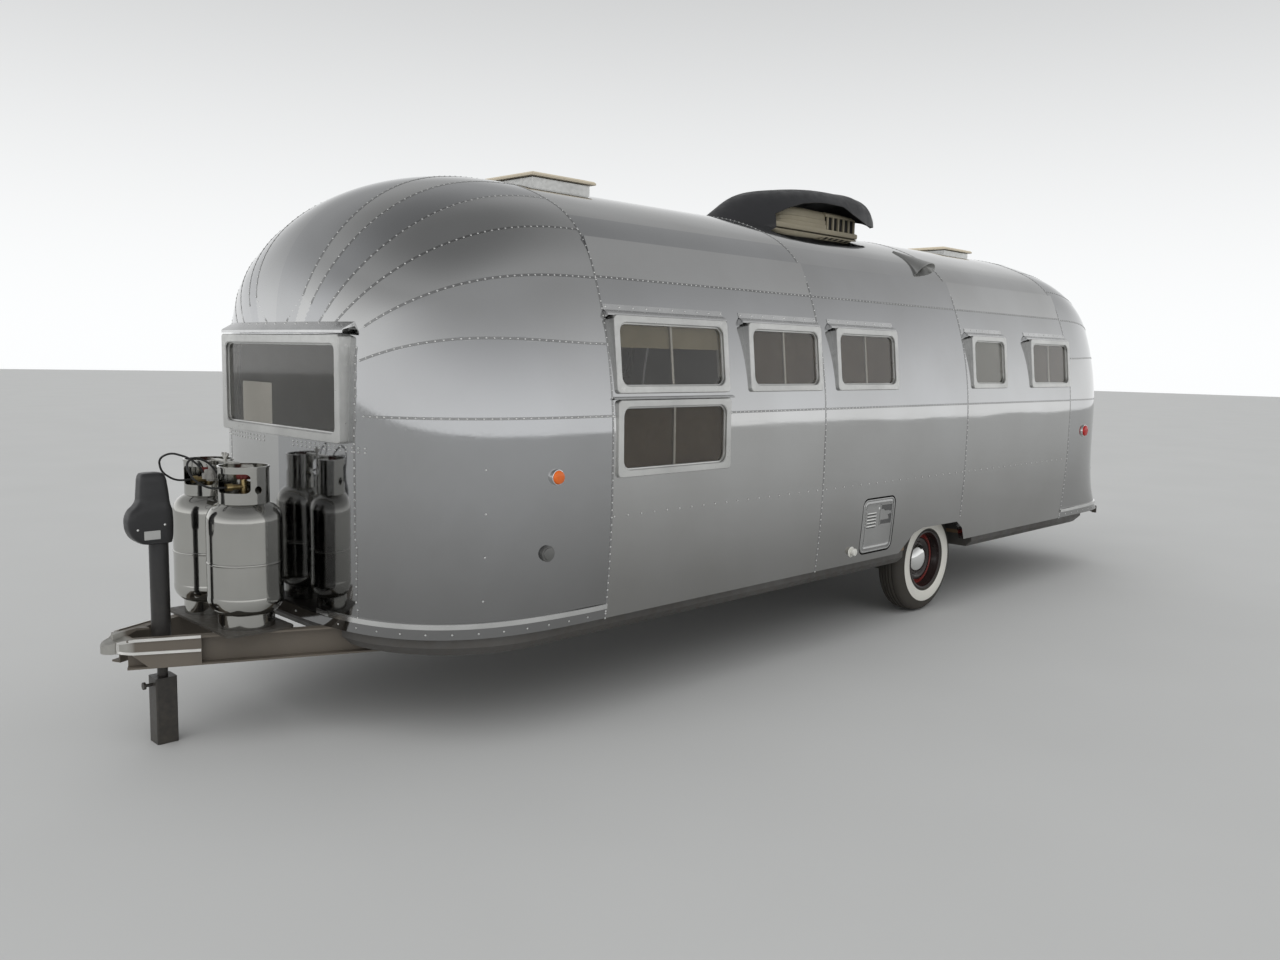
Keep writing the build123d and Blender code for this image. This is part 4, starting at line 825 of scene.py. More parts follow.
metal_piece("door_frame_dressed", *window_frame(DOOR_WINDOW, 1), window_aluminium, "window_aluminium", "door",
            nodes=("door_window_frame",), crease=35)
metal_piece("door_screen", *panel(DOOR_WINDOW, 1, PANE_INSET, 0.03, -0.033, 0.002), screen_mesh,
            "window_aluminium", "door", crease=35)


def dome_face(end, y, z):
    """X of a domed end at a width and a height: the share of the depth whose section is that wide
    there, read from a table of half widths."""
    shares = np.linspace(0.30, 0.99999, 500)
    grid = dome(end, shares)
    right = grid[:, grid.shape[1] // 2:]
    found = []
    for width, height in zip(np.abs(np.ravel(y)), np.ravel(z)):
        wide = np.array([np.interp(-height, -row[:, 2], row[:, 1], right=0.0) if row[0, 2] > height else 0.0
                         for row in right])
        found.append(np.interp(-width, -wide, right[:, 0, 0]))
    return np.array(found)


END_RINGS = ((0.000, 0.014, None), (0.000, 0.014, -0.005), (0.003, 0.012, -0.008), (0.036, 0.034, -0.008),
             (0.040, 0.034, -0.004), (0.040, 0.034, 0.008), (0.046, 0.030, 0.010), (0.046, 0.030, 0.040),
             (0.030, 0.030, 0.060))
FRAME_HALF = 0.558
FRAME_LOW = 1.305
FRAME_HIGH = 1.762
NOSES = {"front": (at(0.0), 1), "rear": (at(BODY_LENGTH), -1)}
for end, (nose, sign) in NOSES.items():
    rings = []
    for inset, radius, depth in END_RINGS:
        half = FRAME_HALF - inset
        loop = rounded_loop(-half, half, FRAME_LOW + inset, FRAME_HIGH - inset, radius)
        x = dome_face(end, *loop.T) + 0.012 * sign if depth is None else nose + sign * depth
        rings.append(np.insert(loop, 0, x, axis=1))
    metal_piece(f"{end}_frame_dressed", *through(rings, around=True), window_aluminium, "window_aluminium",
                nodes=(f"{end}_window_frame",), crease=35)

card_white = shaded_metal("card_white", (0.86, 0.86, 0.84), 0.0, 0.6, grain=60.0, vary=0.04)
card_loop = rounded_loop(0.090, 0.385, 1.335, 1.540, 0.004)
metal_piece("window_card", *through([np.insert(card_loop, 0, at(x), axis=1) for x in (0.0195, 0.021)]),
            card_white, "window_aluminium", crease=35)


def tinted_glass():
    """Old window glass: see-through, grey brown in its thickness, with faint smears in its gloss."""
    material = bpy.data.materials.new("window_glass")
    add = node_adder(material)
    smear = add("TexNoise", Vector=add("TexCoord").outputs["Object"], Scale=6.0, Detail=6.0).outputs["Fac"]
    tint = ramp(add, smear, ((0.0, (0.62, 0.60, 0.56)), (1.0, (0.74, 0.72, 0.68))))
    gloss = add("MapRange", Value=smear, To_Min=0.01, To_Max=0.07)
    glass = add("BsdfPrincipled", Base_Color=tint, Roughness=gloss.outputs["Result"], IOR=1.45,
                Transmission_Weight=1.0)
    add("OutputMaterial", Surface=glass.outputs["BSDF"])
    return material


def dress(material, *names):
    """Gives carried-over pieces their finish."""
    for name in names:
        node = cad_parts[name]
        if not node.material_slots:
            node.data.materials.append(material)
        for slot in node.material_slots:
            slot.material = material


window_glass = tinted_glass()
dress(window_glass, "end_window_glass", "side_window_glass", "door_window_glass")

# Drip caps and rails
# A bent strip of aluminium over each window keeps rain off it: a flange riveted to the skin, a slope and
# a turned-down lip. A half-round rail runs round each end, over a riveted flange.
CAP_PROFILE = ((-0.002, 0.045), (0.0016, 0.045), (0.0022, 0.020), (0.020, 0.012), (0.0265, 0.004),
               (0.0265, -0.005), (0.0240, -0.005), (0.0235, 0.002), (0.018, 0.0095), (-0.002, 0.016))
CAP_END = ((-0.002, 0.0445), (0.0012, 0.0445), (0.0018, 0.0200), (0.0195, 0.0120), (0.0260, 0.0040),
           (0.0260, -0.0050), (0.0180, -0.0120), (-0.0020, -0.0160))
LIP_PROFILE = ((-0.002, 0.012), (0.004, 0.012), (0.020, 0.008), (0.0225, 0.002), (0.020, 0.0), (0.016, 0.005),
               (-0.002, 0.008))


def cap_section(profile, x, side, foot, drawn=1.0):
    """Section of a side cap at a station: outwards from the wall and up from the cap's foot, drawn in by a
    share of its reach."""
    return [(at(x), side * (side_width(np.array(foot + v)) + u * drawn), foot + v) for u, v in profile]


parts, spots, normals = [], [], []
for side, rows in ((-1, LEFT_WINDOWS), (1, RIGHT_WINDOWS)):
    for x0, x1, z0, z1 in rows:
        foot = z1 + 0.002
        profile = CAP_PROFILE if z0 > SPRING_Z else LIP_PROFILE
        inner = (x0 - 0.019, *np.linspace(x0 - 0.015, x1 + 0.015, 12), x1 + 0.019)
        parts.append(through([cap_section(profile, x0 - 0.020, side, foot, 0.6),
                              *[cap_section(profile, x, side, foot) for x in inner],
                              cap_section(profile, x1 + 0.020, side, foot, 0.6)]))
        if z0 > SPRING_Z:
            for x in (x0 - 0.020, x1 + 0.0188):
                parts.append(through([cap_section(CAP_END, x + dx, side, foot) for dx in (0.0, 0.0012)]))
            x = np.linspace(x0 - 0.005, x1 + 0.005, int((x1 - x0) / 0.095) + 2)
            z = np.full_like(x, z1 + 0.035)
            spots.append(np.stack([at(x), side * (side_width(z) + 0.0016), z], axis=-1))
            normals.append(side_normal(z, side))
END_CAP = ((0.030, 0.056), (-0.0005, 0.054), (-0.0150, 0.024), (-0.0205, 0.018), (-0.0205, 0.006),
           (-0.0185, 0.006), (-0.0180, 0.016), (-0.0135, 0.021), (0.030, 0.044))
for end, (nose, sign) in NOSES.items():
    rings = []
    for y in np.linspace(-0.574, 0.574, 41):
        bow = dome_face(end, [y], [1.815])[0] - nose
        rings.append([(nose + sign * u + bow * (1.0 if u > -0.01 else 0.35), y, FRAME_HIGH + v)
                      for u, v in END_CAP])
    parts.append(through(rings))
    y = np.linspace(-0.550, 0.550, 13)
    z = np.full_like(y, 1.808)
    spots.append(np.stack([dome_face(end, y, z) - 0.004 * sign, y, z], axis=-1))
    normals.append(np.broadcast_to((-sign * 0.87, 0.0, 0.5), spots[-1].shape))
cap_aluminium = shaded_metal("cap_aluminium", (0.66, 0.66, 0.66), 1.0, 0.20, grain=50.0, vary=0.10)
metal_piece("drip_caps_dressed", *joined(parts), cap_aluminium, "window_aluminium", nodes=("drip_caps",),
            crease=30)
metal_piece("cap_rivets", *rivet_domes(np.concatenate(spots), np.concatenate(normals), 0.0062, 0.0034),
            rivet_metal, "window_aluminium")
rail_aluminium = shaded_metal("rail_aluminium", (0.72, 0.72, 0.71), 1.0, 0.15, grain=50.0, vary=0.10)
dress(rail_aluminium, "rub_rails")
dress(window_aluminium, "vent_bases", "door_hinges")

# Roof: vents, cooler, hood and scoop
# Moulded cream lids close the vents. The cooler is a tan unit under a black moulded hood, whose left side
# is cut open in an arch. The scoop is folded from aluminium sheet.
vent_cream = shaded_metal("vent_cream", (0.66, 0.58, 0.44), 0.0, 0.5, grain=25.0)
dress(vent_cream, "front_vent_lid", "rear_vent_lid")
cooler_tan = shaded_metal("cooler_tan", (0.30, 0.265, 0.19), 0.0, 0.6, grain=25.0, vary=0.2)
coil_grey = shaded_metal("coil_grey", (0.05, 0.048, 0.045), 0.6, 0.5, grain=90.0, vary=0.3)
moulded_black = shaded_metal("moulded_black", (0.022, 0.022, 0.024), 0.0, 0.42, grain=20.0, vary=0.25)
dress(moulded_black, "cooler_hood")
HOOD = np.array((
    (2.900, 0.040, 2.556, 2.566, 0.0), (2.950, 0.120, 2.552, 2.595, 0.0), (3.000, 0.170, 2.548, 2.632, 0.0),
    (3.080, 0.222, 2.543, 2.685, 0.0), (3.165, 0.272, 2.538, 2.735, 0.05), (3.300, 0.325, 2.535, 2.785, 0.35),
    (3.500, 0.352, 2.532, 2.822, 0.8), (3.750, 0.365, 2.530, 2.850, 1.0), (4.000, 0.366, 2.530, 2.858, 1.0),
    (4.200, 0.352, 2.530, 2.856, 1.0), (4.300, 0.333, 2.530, 2.822, 1.0), (4.335, 0.318, 2.530, 2.760, 1.0),
    (4.348, 0.305, 2.530, 2.690, 1.0)))
CUT_FRONT = 3.235
CUT_REAR = 4.199
CUT_FOOT = 2.560
REAR_EDGE_Z = 2.638
HOOD_CUT = np.array(((CUT_FRONT, CUT_FOOT), (3.255, 2.625), (3.360, 2.672), (3.490, 2.712), (3.620, 2.729),
                     (3.710, 2.735), (3.900, 2.731), (4.000, 2.692), (4.200, REAR_EDGE_Z)))


def eased(x, rows, column):
    """Smooth curve through a column of rows over their first: cubic runs whose slopes at each row are the
    mean of the two chords beside it."""
    knots, values = rows[:, 0], rows[:, column]
    slopes = np.gradient(values, knots)
    k = np.clip(np.searchsorted(knots, x, side="right") - 1, 0, len(knots) - 2)
    h = knots[k + 1] - knots[k]
    t = (x - knots[k]) / h
    return ((2 * t**3 - 3 * t**2 + 1) * values[k] + (t**3 - 2 * t**2 + t) * h * slopes[k]
            + (3 * t**2 - 2 * t**3) * values[k + 1] + (t**3 - t**2) * h * slopes[k + 1])


def hood_ring(station):
    """Half section of the hood from foot to crown: an upright share and a curve whose powers grow with the
    row's fullness, from a parabola at the front to a square shoulder with a crowned top."""
    half, foot, top, full = (float(eased(np.array(station), HOOD, c)) for c in (1, 2, 3, 4))
    rise = top - foot
    full = min(max(full, 0.0), 1.0)
    upright = 0.42 * full
    turn = np.linspace(0.0, np.pi / 2, 40)
    y = half * np.cos(turn) ** (2 / (2.0 + 0.9 * full))
    z = foot + upright * rise + (1 - upright) * rise * np.sin(turn) ** (2 / (1.0 + 1.1 * full))
    up = np.linspace(foot, foot + max(upright, 0.02) * rise, 8)[:-1]
    up = np.minimum(up, z[0])
    return np.concatenate([np.full(7, half), y]), np.concatenate([up, z])


stations = grid_lines(2.900, 4.348, (2.925, CUT_FRONT, 3.255, CUT_REAR, 4.3, 4.335), 0.02)
rows = []
for station in stations:
    y, z = hood_ring(station)
    run = np.concatenate([[0.0], np.cumsum(np.hypot(np.diff(y), np.diff(z)))])
    if station < CUT_FRONT:
        level = z[0] + (CUT_FOOT - z[0]) * min(max((station - 2.95) / 0.285, 0.02), 1.0)
    else:
        level = REAR_EDGE_Z if station > CUT_REAR else np.interp(station, *HOOD_CUT.T)
    low_edge = REAR_EDGE_Z if station > 4.0 else min(2.590, z[0] + 0.5 * (z.max() - z[0]))
    half = []
    for side, edge in ((-1, level), (1, low_edge)):
        cut_at = np.interp(edge, z, run)
        spots = np.concatenate([np.linspace(0, cut_at, 9)[:-1], np.linspace(cut_at, run[-1], 33)])
        half.append(np.column_stack([side * np.interp(spots, run, y), np.interp(spots, run, z)]))
    rows.append(np.insert(np.concatenate([half[0], half[1][-2::-1]]), 0, at(station), axis=1))
hood_grid = np.array(rows)
hood_normals = facing(np.gradient(hood_grid, stations, axis=0), np.gradient(hood_grid, axis=1), 0.0)
keep = np.ones((len(stations) - 1, 80), bool)
between = (stations[:-1] + stations[1:]) / 2
keep[between > CUT_FRONT, :8] = False
keep[between > CUT_REAR, -8:] = False
sheet_metal("hood_shell", hood_grid, hood_normals, keep, np.zeros(keep.shape), nodes=("cooler_hood",),
            thick=0.006, finishes=(moulded_black, moulded_black))
dress(window_aluminium, "roof_scoop")

SHROUD = np.array(((3.300, 0.130, 2.612), (3.306, 0.180, 2.640), (3.325, 0.222, 2.668), (3.360, 0.248, 2.690),
                   (3.420, 0.262, 2.702), (3.600, 0.264, 2.708), (3.820, 0.262, 2.706), (3.846, 0.258, 2.702),
                   (3.850, 0.254, 2.698)))
SHROUD_STEPS = ((1.00, 0.00), (1.00, 0.24), (0.975, 0.27), (0.975, 0.48), (0.945, 0.51), (0.945, 0.74),
                (0.925, 0.84), (0.88, 0.93), (0.80, 0.98), (0.60, 0.995), (0.30, 1.00), (0.0, 1.0))
LID_STEPS = ((0.99, 0.0), (1.00, 0.25), (0.985, 0.55), (0.93, 0.82), (0.84, 0.94), (0.60, 0.99), (0.30, 1.0),
             (0.0, 1.0))


def stepped(rows, steps, foot):
    """Closed sections along the stations: the half outline's width and height shares, mirrored."""
    half = np.array(steps)
    whole = np.concatenate([half * (-1, 1), half[-2::-1]])
    return through([np.insert(whole * (w, top - foot) + (0.0, foot), 0, at(s), axis=1) for s, w, top in rows])


SLOT_FOOT = 2.579
SLOT_TOP = 2.672
LID_ROWS = ((3.838, 0.256, 2.696), (3.842, 0.260, 2.703), (4.000, 0.262, 2.704), (4.160, 0.260, 2.698),
            (4.190, 0.256, 2.688), (4.200, 0.250, 2.678))
parts = [stepped(SHROUD, SHROUD_STEPS, 2.578), stepped(LID_ROWS, LID_STEPS, 2.668)]
for station in np.linspace(3.862, 4.180, 6):
    loop = rounded_loop(at(station) - 0.008, at(station) + 0.008, SLOT_FOOT, SLOT_TOP, 0.004, 3, 4)
    for side in (-1, 1):
        parts.append(through([np.insert(loop, 1, side * y, axis=1) for y in (0.244, 0.2585, 0.2600)]))
pan = rounded_loop(-0.5075, 0.5075, -0.286, 0.286, 0.045, 10, 8)
parts.append(through([np.insert(pan * u + (at(3.7075), 0.0), 2, z, axis=1) for u, z in (
    (0.985, 2.545), (0.995, 2.548), (1.0, 2.556), (1.0, 2.570), (0.996, 2.576), (0.988, 2.578))]))
metal_piece("cooler_unit", *joined(parts), cooler_tan, "cooler_tan", nodes=("roof_cooler",), crease=30)
parts = []
fold = 0.0035 * np.where(np.arange(153) % 4 < 2, 1.0, -1.0)
for side in (-1, 1):
    parts.append(through([[(at(x), side * y, z) for y, z in (
        (0.2480 + v, SLOT_FOOT), (0.2480 + v, SLOT_TOP), (0.236, SLOT_TOP), (0.236, SLOT_FOOT))]
        for x, v in zip(np.linspace(3.852, 4.186, 153), fold)]))
back = rounded_loop(-0.238, 0.238, SLOT_FOOT, SLOT_TOP, 0.006, 8, 5)
parts.append(through([np.insert(back, 0, at(s), axis=1) for s in (4.178, 4.184, 4.186)]))
metal_piece("coil_fins", *joined(parts), coil_grey, "cooler_tan", smooth=False)


# Door and hatch
# The door is a flush leaf of the same sheet and thickness as the wall, with round corners. The hatch has a
# raised bead round its edge, five louvre slots, a shallow recess and a small round latch.
def wall_points(loop, depth, side):
    """Points of an outline (station, height) on the wall's outside, moved inwards by depth."""
    x, z = loop[:, 0], loop[:, 1]
    return np.stack([at(x), side * side_width(z), z], axis=-1) - depth * side_normal(z, side)


def loop_blend(outer, inner, count):
    """Outlines from outer to inner at even shares."""
    return [outer + (inner - outer) * share for share in np.linspace(0, 1, count)]


def door_leaf():
    """Leaf as a ring grid: outlines pass from the round-cornered edge to the window's hole on the outside
    and back on the inside."""
    steps = {"side_steps": 14, "corner_steps": 10}
    outer = rounded_loop(2.782, 3.438, 0.540, 2.170, 0.150, **steps)
    soft = rounded_loop(2.785, 3.435, 0.543, 2.167, 0.147, **steps)
    hole = rounded_loop(2.916, 3.304, 1.545, 1.868, 0.024, **steps)
    rings = [wall_points(outer, WALL, 1), wall_points(outer, 0.003, 1)]
    rings += [wall_points(loop, 0.0, 1) for loop in loop_blend(soft, hole, 26)]
    rings += [wall_points(loop, WALL, 1) for loop in loop_blend(hole, outer, 10)[:-1]]
    return through(rings, around=True)


metal_piece("door_leaf", *door_leaf(), polished_aluminium, "polished_skin", "door", nodes=("entry_door",),
            crease=40)
bright_chrome = shaded_metal("bright_chrome", (0.80, 0.80, 0.79), 1.0, 0.05, grain=40.0, vary=0.04)
dress(bright_chrome, "door_hardware")
loop = rounded_loop(2.812, 3.408, 0.570, 2.140, 0.122, 60, 14)
loop = np.concatenate([loop, loop[:1]])
door_rivets = evenly((wall_points(loop, 0.0, 1), side_normal(loop[:, 1], 1)), RIVET_PITCH)
metal_piece("door_rivets", *rivet_domes(*door_rivets), rivet_metal, "polished_skin", "door")


def with_second(piece, material, chosen):
    """Gives some faces of a piece a second finish."""
    piece.data.materials.append(material)
    piece.data.polygons.foreach_set("material_index", np.asarray(chosen, np.int32))
    return piece


HATCH_RINGS = ((0.0, 0.045, 0.020), (0.0, 0.045, 0.002), (0.002, 0.044, -0.0015), (0.006, 0.040, -0.003),
               (0.010, 0.036, -0.002), (0.012, 0.034, 0.001), (0.022, 0.028, 0.001), (0.024, 0.027, -0.001),
               (0.028, 0.025, -0.001), (0.030, 0.024, 0.001))
RECESS = (3.328, 3.468, 0.700, 0.832)


HATCH = (3.140, 3.490, 0.540, 0.870)


def inset_rings(box, rows):
    """Outlines on the left wall: each row insets the box, gives its corners' radius and sets it back."""
    x0, x1, z0, z1 = box
    return [wall_points(rounded_loop(x0 + u, x1 - u, z0 + u, z1 - u, r), depth, -1) for u, r, depth in rows]


def hatch_skin():
    """Hatch as a grid over its face: edge rings carry the bead, and a level grid inside dips into the
    recess."""
    rings = inset_rings(HATCH, HATCH_RINGS)
    inner = rounded_loop(3.170, 3.460, 0.570, 0.840, 0.024)
    last = rounded_loop(3.320, 3.325, 0.700, 0.705, 0.001)
    rings += [wall_points(loop, 0.001, -1) for loop in loop_blend(inner, last, 8)[1:]]
    rings.append(wall_points(last, 0.020, -1))
    return through(rings, around=True)


hatch_metal = shaded_metal("hatch_metal", (0.43, 0.43, 0.425), 1.0, 0.16, grain=40.0, vary=0.12)
metal_piece("hatch_skin", *hatch_skin(), hatch_metal, "polished_skin", "hatch", nodes=("heater_hatch",),
            crease=50)
# Painted shade: the floor of the hatch's shallow recess is coloured dark for the shade inside the pocket.
recess_shade_metal = shaded_metal("recess_shade_metal", (0.15, 0.15, 0.15), 0.9, 0.3, grain=40.0, vary=0.2)
# Painted shade: each louvre slot is a shallow near-black plug for the shade inside the opening under its lip.
louvre_shade = shaded_metal("louvre_shade", (0.02, 0.02, 0.02), 0.0, 0.6, grain=60.0)
RECESS_RINGS = ((0.0, 0.010, 0.003), (0.002, 0.009, -0.002), (0.006, 0.006, -0.002), (0.008, 0.004, 0.0008))
LIP_RINGS = ((0.0, 0.0035, 0.002), (0.0, 0.0035, 0.0002), (0.0008, 0.0027, -0.0018),
             (0.0022, 0.0013, -0.0028))
slots, lips = [], []
for z in (0.697, 0.717, 0.737, 0.757, 0.777):
    loop = rounded_loop(3.190, 3.285, z - 0.005, z + 0.002, 0.0033, 4, 6)
    slots.append(through([wall_points(loop, depth, -1) for depth in (0.0006, 0.004)]))
    lips.append(through(inset_rings((3.188, 3.287, z + 0.001, z + 0.010), LIP_RINGS)))
metal_piece("hatch_lips", *joined(lips), rivet_metal, "polished_skin", "hatch", crease=40)
metal_piece("hatch_slots", *joined(slots), louvre_shade, "polished_skin", "hatch", crease=40)
rim, faces = through(inset_rings(RECESS, RECESS_RINGS))
recess = metal_piece("hatch_recess", rim, faces, hatch_metal, "polished_skin", "hatch", crease=40)
with_second(recess, recess_shade_metal, [0] * (len(faces) - 1) + [1])


def turned(profile, centre, side, count):
    """Surface of revolution about a line along Y: rows of radius and distance outwards from the centre."""
    around = np.linspace(0, 2 * np.pi, count, endpoint=False)
    radius, out = np.array(profile, float).T
    radius = np.maximum(radius, 0.0004)[:, None]
    y = np.broadcast_to(out[:, None] * side, (len(out), count))
    return through(np.stack([radius * np.cos(around), y, radius * np.sin(around)], axis=-1) + centre)


LATCH = ((0.0001, 0.003), (0.004, 0.003), (0.008, 0.0015), (0.009, -0.001), (0.009, -0.010), (0.0001, -0.010))
metal_piece("hatch_latch", *turned(LATCH, (at(3.318), -HALF_WIDTH + 0.010, 0.806), -1, 24), bright_chrome,
            "polished_skin", "hatch", crease=40)


# Lamps and caps
# Ribbed plastic lenses in chromed rings; a white moulded cap on a neck closes the water filler, and a dull
# metal cap the drain.
amber_lens = shaded_metal("amber_lens", (0.86, 0.17, 0.02), 0.0, 0.14, grain=80.0)
red_lens = shaded_metal("red_lens", (0.50, 0.010, 0.008), 0.0, 0.12, grain=80.0)
LENS = [(0.0005, 0.022), *((0.0028 * k, 0.022 - 0.000011 * k**2.6 + 0.0009 * (k % 2)) for k in range(1, 11))]
BASE = [(0.030, 0.006), (0.0315, 0.0085), (0.034, 0.008), (0.0355, 0.004), (0.0355, -0.060), (0.0005, -0.060)]
for name, glow, lens, station, z, size in (("marker", "amber", amber_lens, 0.716, 1.172, 0.98),
                                           ("tail", "red", red_lens, 6.303, 1.177, 1.40)):
    profile = [(r * size, w) for r, w in LENS + BASE]
    points, faces = joined([turned(profile, (at(station), side * 1.1155, z), side, 40) for side in (-1, 1)])
    piece = metal_piece(f"{name}_lights", points, faces, lens, f"{glow}_lens", nodes=(f"{name}_lamps",),
                        crease=45)
    with_second(piece, bright_chrome, [int(k // 40 >= len(LENS)) for k in range(len(faces) // 2)] * 2)

cap_plastic = shaded_metal("cap_plastic", (0.70, 0.69, 0.64), 0.0, 0.3, grain=40.0)
drain_metal = shaded_metal("drain_metal", (0.16, 0.16, 0.155), 0.7, 0.35, grain=60.0, vary=0.2)
FILLER = ((0.0005, 0.012), (0.012, 0.012), (0.0205, 0.0105), (0.022, 0.007), (0.022, -0.006), (0.017, -0.008),
          (0.017, -0.016), (0.030, -0.017), (0.033, -0.019), (0.033, -0.040), (0.0005, -0.040))
DRAIN = ((0.0005, 0.004), (0.020, 0.0045), (0.026, 0.003), (0.028, -0.001), (0.033, -0.001), (0.035, -0.003),
         (0.035, -0.060), (0.0005, -0.060))
for name, profile, centre, finish in (("filler_cap", FILLER, (at(3.052), -1.112, 0.567), cap_plastic),
                                      ("drain_cap", DRAIN, (at(0.675), -1.1135, 0.840), drain_metal)):
    metal_piece(name, *turned(profile, centre, -1, 40), finish, "cap_plastic", nodes=("side_caps",),
                crease=40)

# Drawbar: gas bottles, clamp, jack and coupler
# Polished aluminium gas bottles stand on a steel tray, held by a clamp on a threaded rod. The jack is a
# black motor housing on a tube. The coupler is pressed steel with a silver nose.
bottle_aluminium = shaded_metal("bottle_aluminium", (0.47, 0.465, 0.44), 1.0, 0.11, grain=30.0, vary=0.12)
dress(bottle_aluminium, "gas_bottle_left", "gas_bottle_right")
valve_brass = shaded_metal("valve_brass", (0.52, 0.40, 0.20), 1.0, 0.3, grain=60.0)
dress(valve_brass, "tank_valves")
regulator_grey = shaded_metal("regulator_grey", (0.34, 0.33, 0.31), 0.7, 0.4, grain=60.0, vary=0.2)
dress(regulator_grey, "gas_regulator")
hose_rubber = shaded_metal("hose_rubber", (0.020, 0.020, 0.020), 0.0, 0.55, grain=200.0, vary=0.3)
dress(hose_rubber, "gas_hoses")
worn_silver = shaded_metal("worn_silver", (0.52, 0.51, 0.48), 0.85, 0.34, grain=30.0, vary=0.25, soil=0.3)
dress(worn_silver, "tank_clamp")
rail_taupe = shaded_metal("rail_taupe", (0.13, 0.112, 0.092), 0.2, 0.5, grain=30.0, vary=0.25, soil=0.5)
dress(rail_taupe, "chassis")


def coupler_paint():
    """Silver paint on the coupler's nose that ends behind the ball, taupe rail paint on the plates behind."""
    material = rail_taupe.copy()
    material.name = "coupler_paint"
    add = node_adder(material, fresh=False)
    link = material.node_tree.links.new
    paint = next(node for node in material.node_tree.nodes if node.type == "BSDF_PRINCIPLED")
    axes = add("SeparateXYZ", Vector=add("TexCoord").outputs["Object"])
    edge = add("MapRange", Value=axes.outputs["X"], From_Min=at(-0.716), From_Max=at(-0.690), To_Min=1.0,
               To_Max=0.0)
    blend = add("MixRGB", Fac=edge.outputs["Result"], Color1=paint.inputs["Base Color"].links[0].from_socket,
                Color2=(0.50, 0.49, 0.46, 1.0))
    link(blend.outputs["Color"], paint.inputs["Base Color"])
    link(edge.outputs["Result"], paint.inputs["Metallic"])
    return material


dress(coupler_paint(), "coupler")


RAIL_SPREAD = 0.560
EDGE = ((-0.006, -0.002), (0.006, -0.002), (0.006, 0.0025), (0.005, 0.0035), (-0.005, 0.0035),
        (-0.006, 0.0025))


def plate_side(station):
    """Distance of the coupler's side plates from the middle plane: two straight runs in plan."""
    return np.where(station < -0.700, 0.046 + 0.051 * (station + 0.744) / 0.044,
                    0.097 + (RAIL_SPREAD - 0.046) * (station + 0.700) / 1.130)


corners = ((-0.462, 0.488), (-0.697, 0.488), (-0.741, 0.474), (-0.741, 0.436), (-0.704, 0.434),
           (-0.462, 0.430))
s, _, z = evenly((np.insert(corners, 1, 0.0, axis=1), np.zeros((6, 3))), 0.012)[0].T
parts = [carried(np.column_stack([at(s), side * (plate_side(s) + 0.0015), z]), EDGE, (0.0, side, 0.0))
         for side in (-1, 1)]
edge_silver = shaded_metal("edge_silver", (0.74, 0.73, 0.70), 0.5, 0.35, grain=60.0, vary=0.12)
metal_piece("coupler_edges", *joined(parts), edge_silver, "coupler_steel", crease=40)

jack_black = shaded_metal("jack_black", (0.018, 0.018, 0.019), 0.0, 0.35, grain=40.0, vary=0.3, soil=0.3)
dress(jack_black, "jack_post", "jack_leg")
HEAD = ((0.8700, -3.733, 0.045, 0.040), (0.8715, -3.735, 0.054, 0.044), (0.8800, -3.742, 0.068, 0.0475),
        (0.8950, -3.750, 0.080, 0.0490), (0.9200, -3.757, 0.089, 0.0495), (0.9550, -3.760, 0.093, 0.0500),
        (0.9900, -3.759, 0.091, 0.0500), (1.0150, -3.754, 0.083, 0.0500), (1.0320, -3.748, 0.071, 0.0485),
        (1.0480, -3.744, 0.064, 0.0465), (1.0800, -3.743, 0.060, 0.0450), (1.1200, -3.744, 0.056, 0.0430),
        (1.1480, -3.745, 0.052, 0.0410), (1.1620, -3.746, 0.046, 0.0370), (1.1690, -3.746, 0.036, 0.0300),
        (1.1715, -3.746, 0.020, 0.0180))


def jack_housing():
    """Moulded motor housing: sections in plan are curves of power 4.5, their reach and middle eased from
    row to row over the height."""
    rows = np.array(HEAD)
    turn = np.linspace(0, 2 * np.pi, 72, endpoint=False)
    u = np.sign(np.cos(turn)) * np.abs(np.cos(turn)) ** (2 / 4.5)
    v = np.sign(np.sin(turn)) * np.abs(np.sin(turn)) ** (2 / 4.5)
    heights = [np.linspace(a, b, 4, endpoint=False) for a, b in zip(rows[:-1, 0], rows[1:, 0])]
    rings = []
    for z in np.concatenate([*heights, rows[-1:, 0]]):
        middle, long, wide = (float(eased(np.array(z), rows, c)) for c in (1, 2, 3))
        rings.append(np.column_stack([middle + long * u, wide * v, np.full(72, z)]))
    return through(rings)


metal_piece("jack_housing", *jack_housing(), jack_black, "jack_cover", nodes=("jack_head",), crease=50)
plate = rounded_loop(-3.798, -3.732, 0.893, 0.930, 0.003, 6, 4)
metal_piece("jack_plate", *through([np.insert(plate, 1, y, axis=1) for y in (-0.0400, -0.0508, -0.0514)]),
            window_aluminium, "coupler_steel", crease=40)
SCREW = ((0.0003, 0.0512), (0.0035, 0.0510), (0.0050, 0.0500), (0.0050, 0.0440), (0.0003, 0.0440))
screws = [turned(SCREW, (x, 0.0, z), -1, 16) for x, z in ((-3.822, 0.938), (-3.712, 0.952))]
metal_piece("jack_screws", *joined(screws), bright_chrome, "coupler_steel", crease=40)

wheel_red = shaded_metal("wheel_red", (0.115, 0.012, 0.010), 0.0, 0.4, grain=60.0, vary=0.2)
HAND_WHEEL = ((0.0005, 1.1372), (0.026, 1.1374), (0.0292, 1.1410), (0.0300, 1.1500), (0.0290, 1.1590),
              (0.0255, 1.1632), (0.0120, 1.1640), (0.0100, 1.1650), (0.0005, 1.1652))
turn = np.linspace(0, 2 * np.pi, 96, endpoint=False)
lobes = (1.0 + 0.055 * np.cos(8 * turn)) * (np.cos(turn), np.sin(turn))
parts = [through([np.column_stack([at(-0.248) + r * lobes[0], side * 0.176 + r * lobes[1], np.full(96, z)])
                  for r, z in HAND_WHEEL]) for side in (-1, 1)]
metal_piece("valve_wheels", *joined(parts), wheel_red, "valve_brass", crease=50)

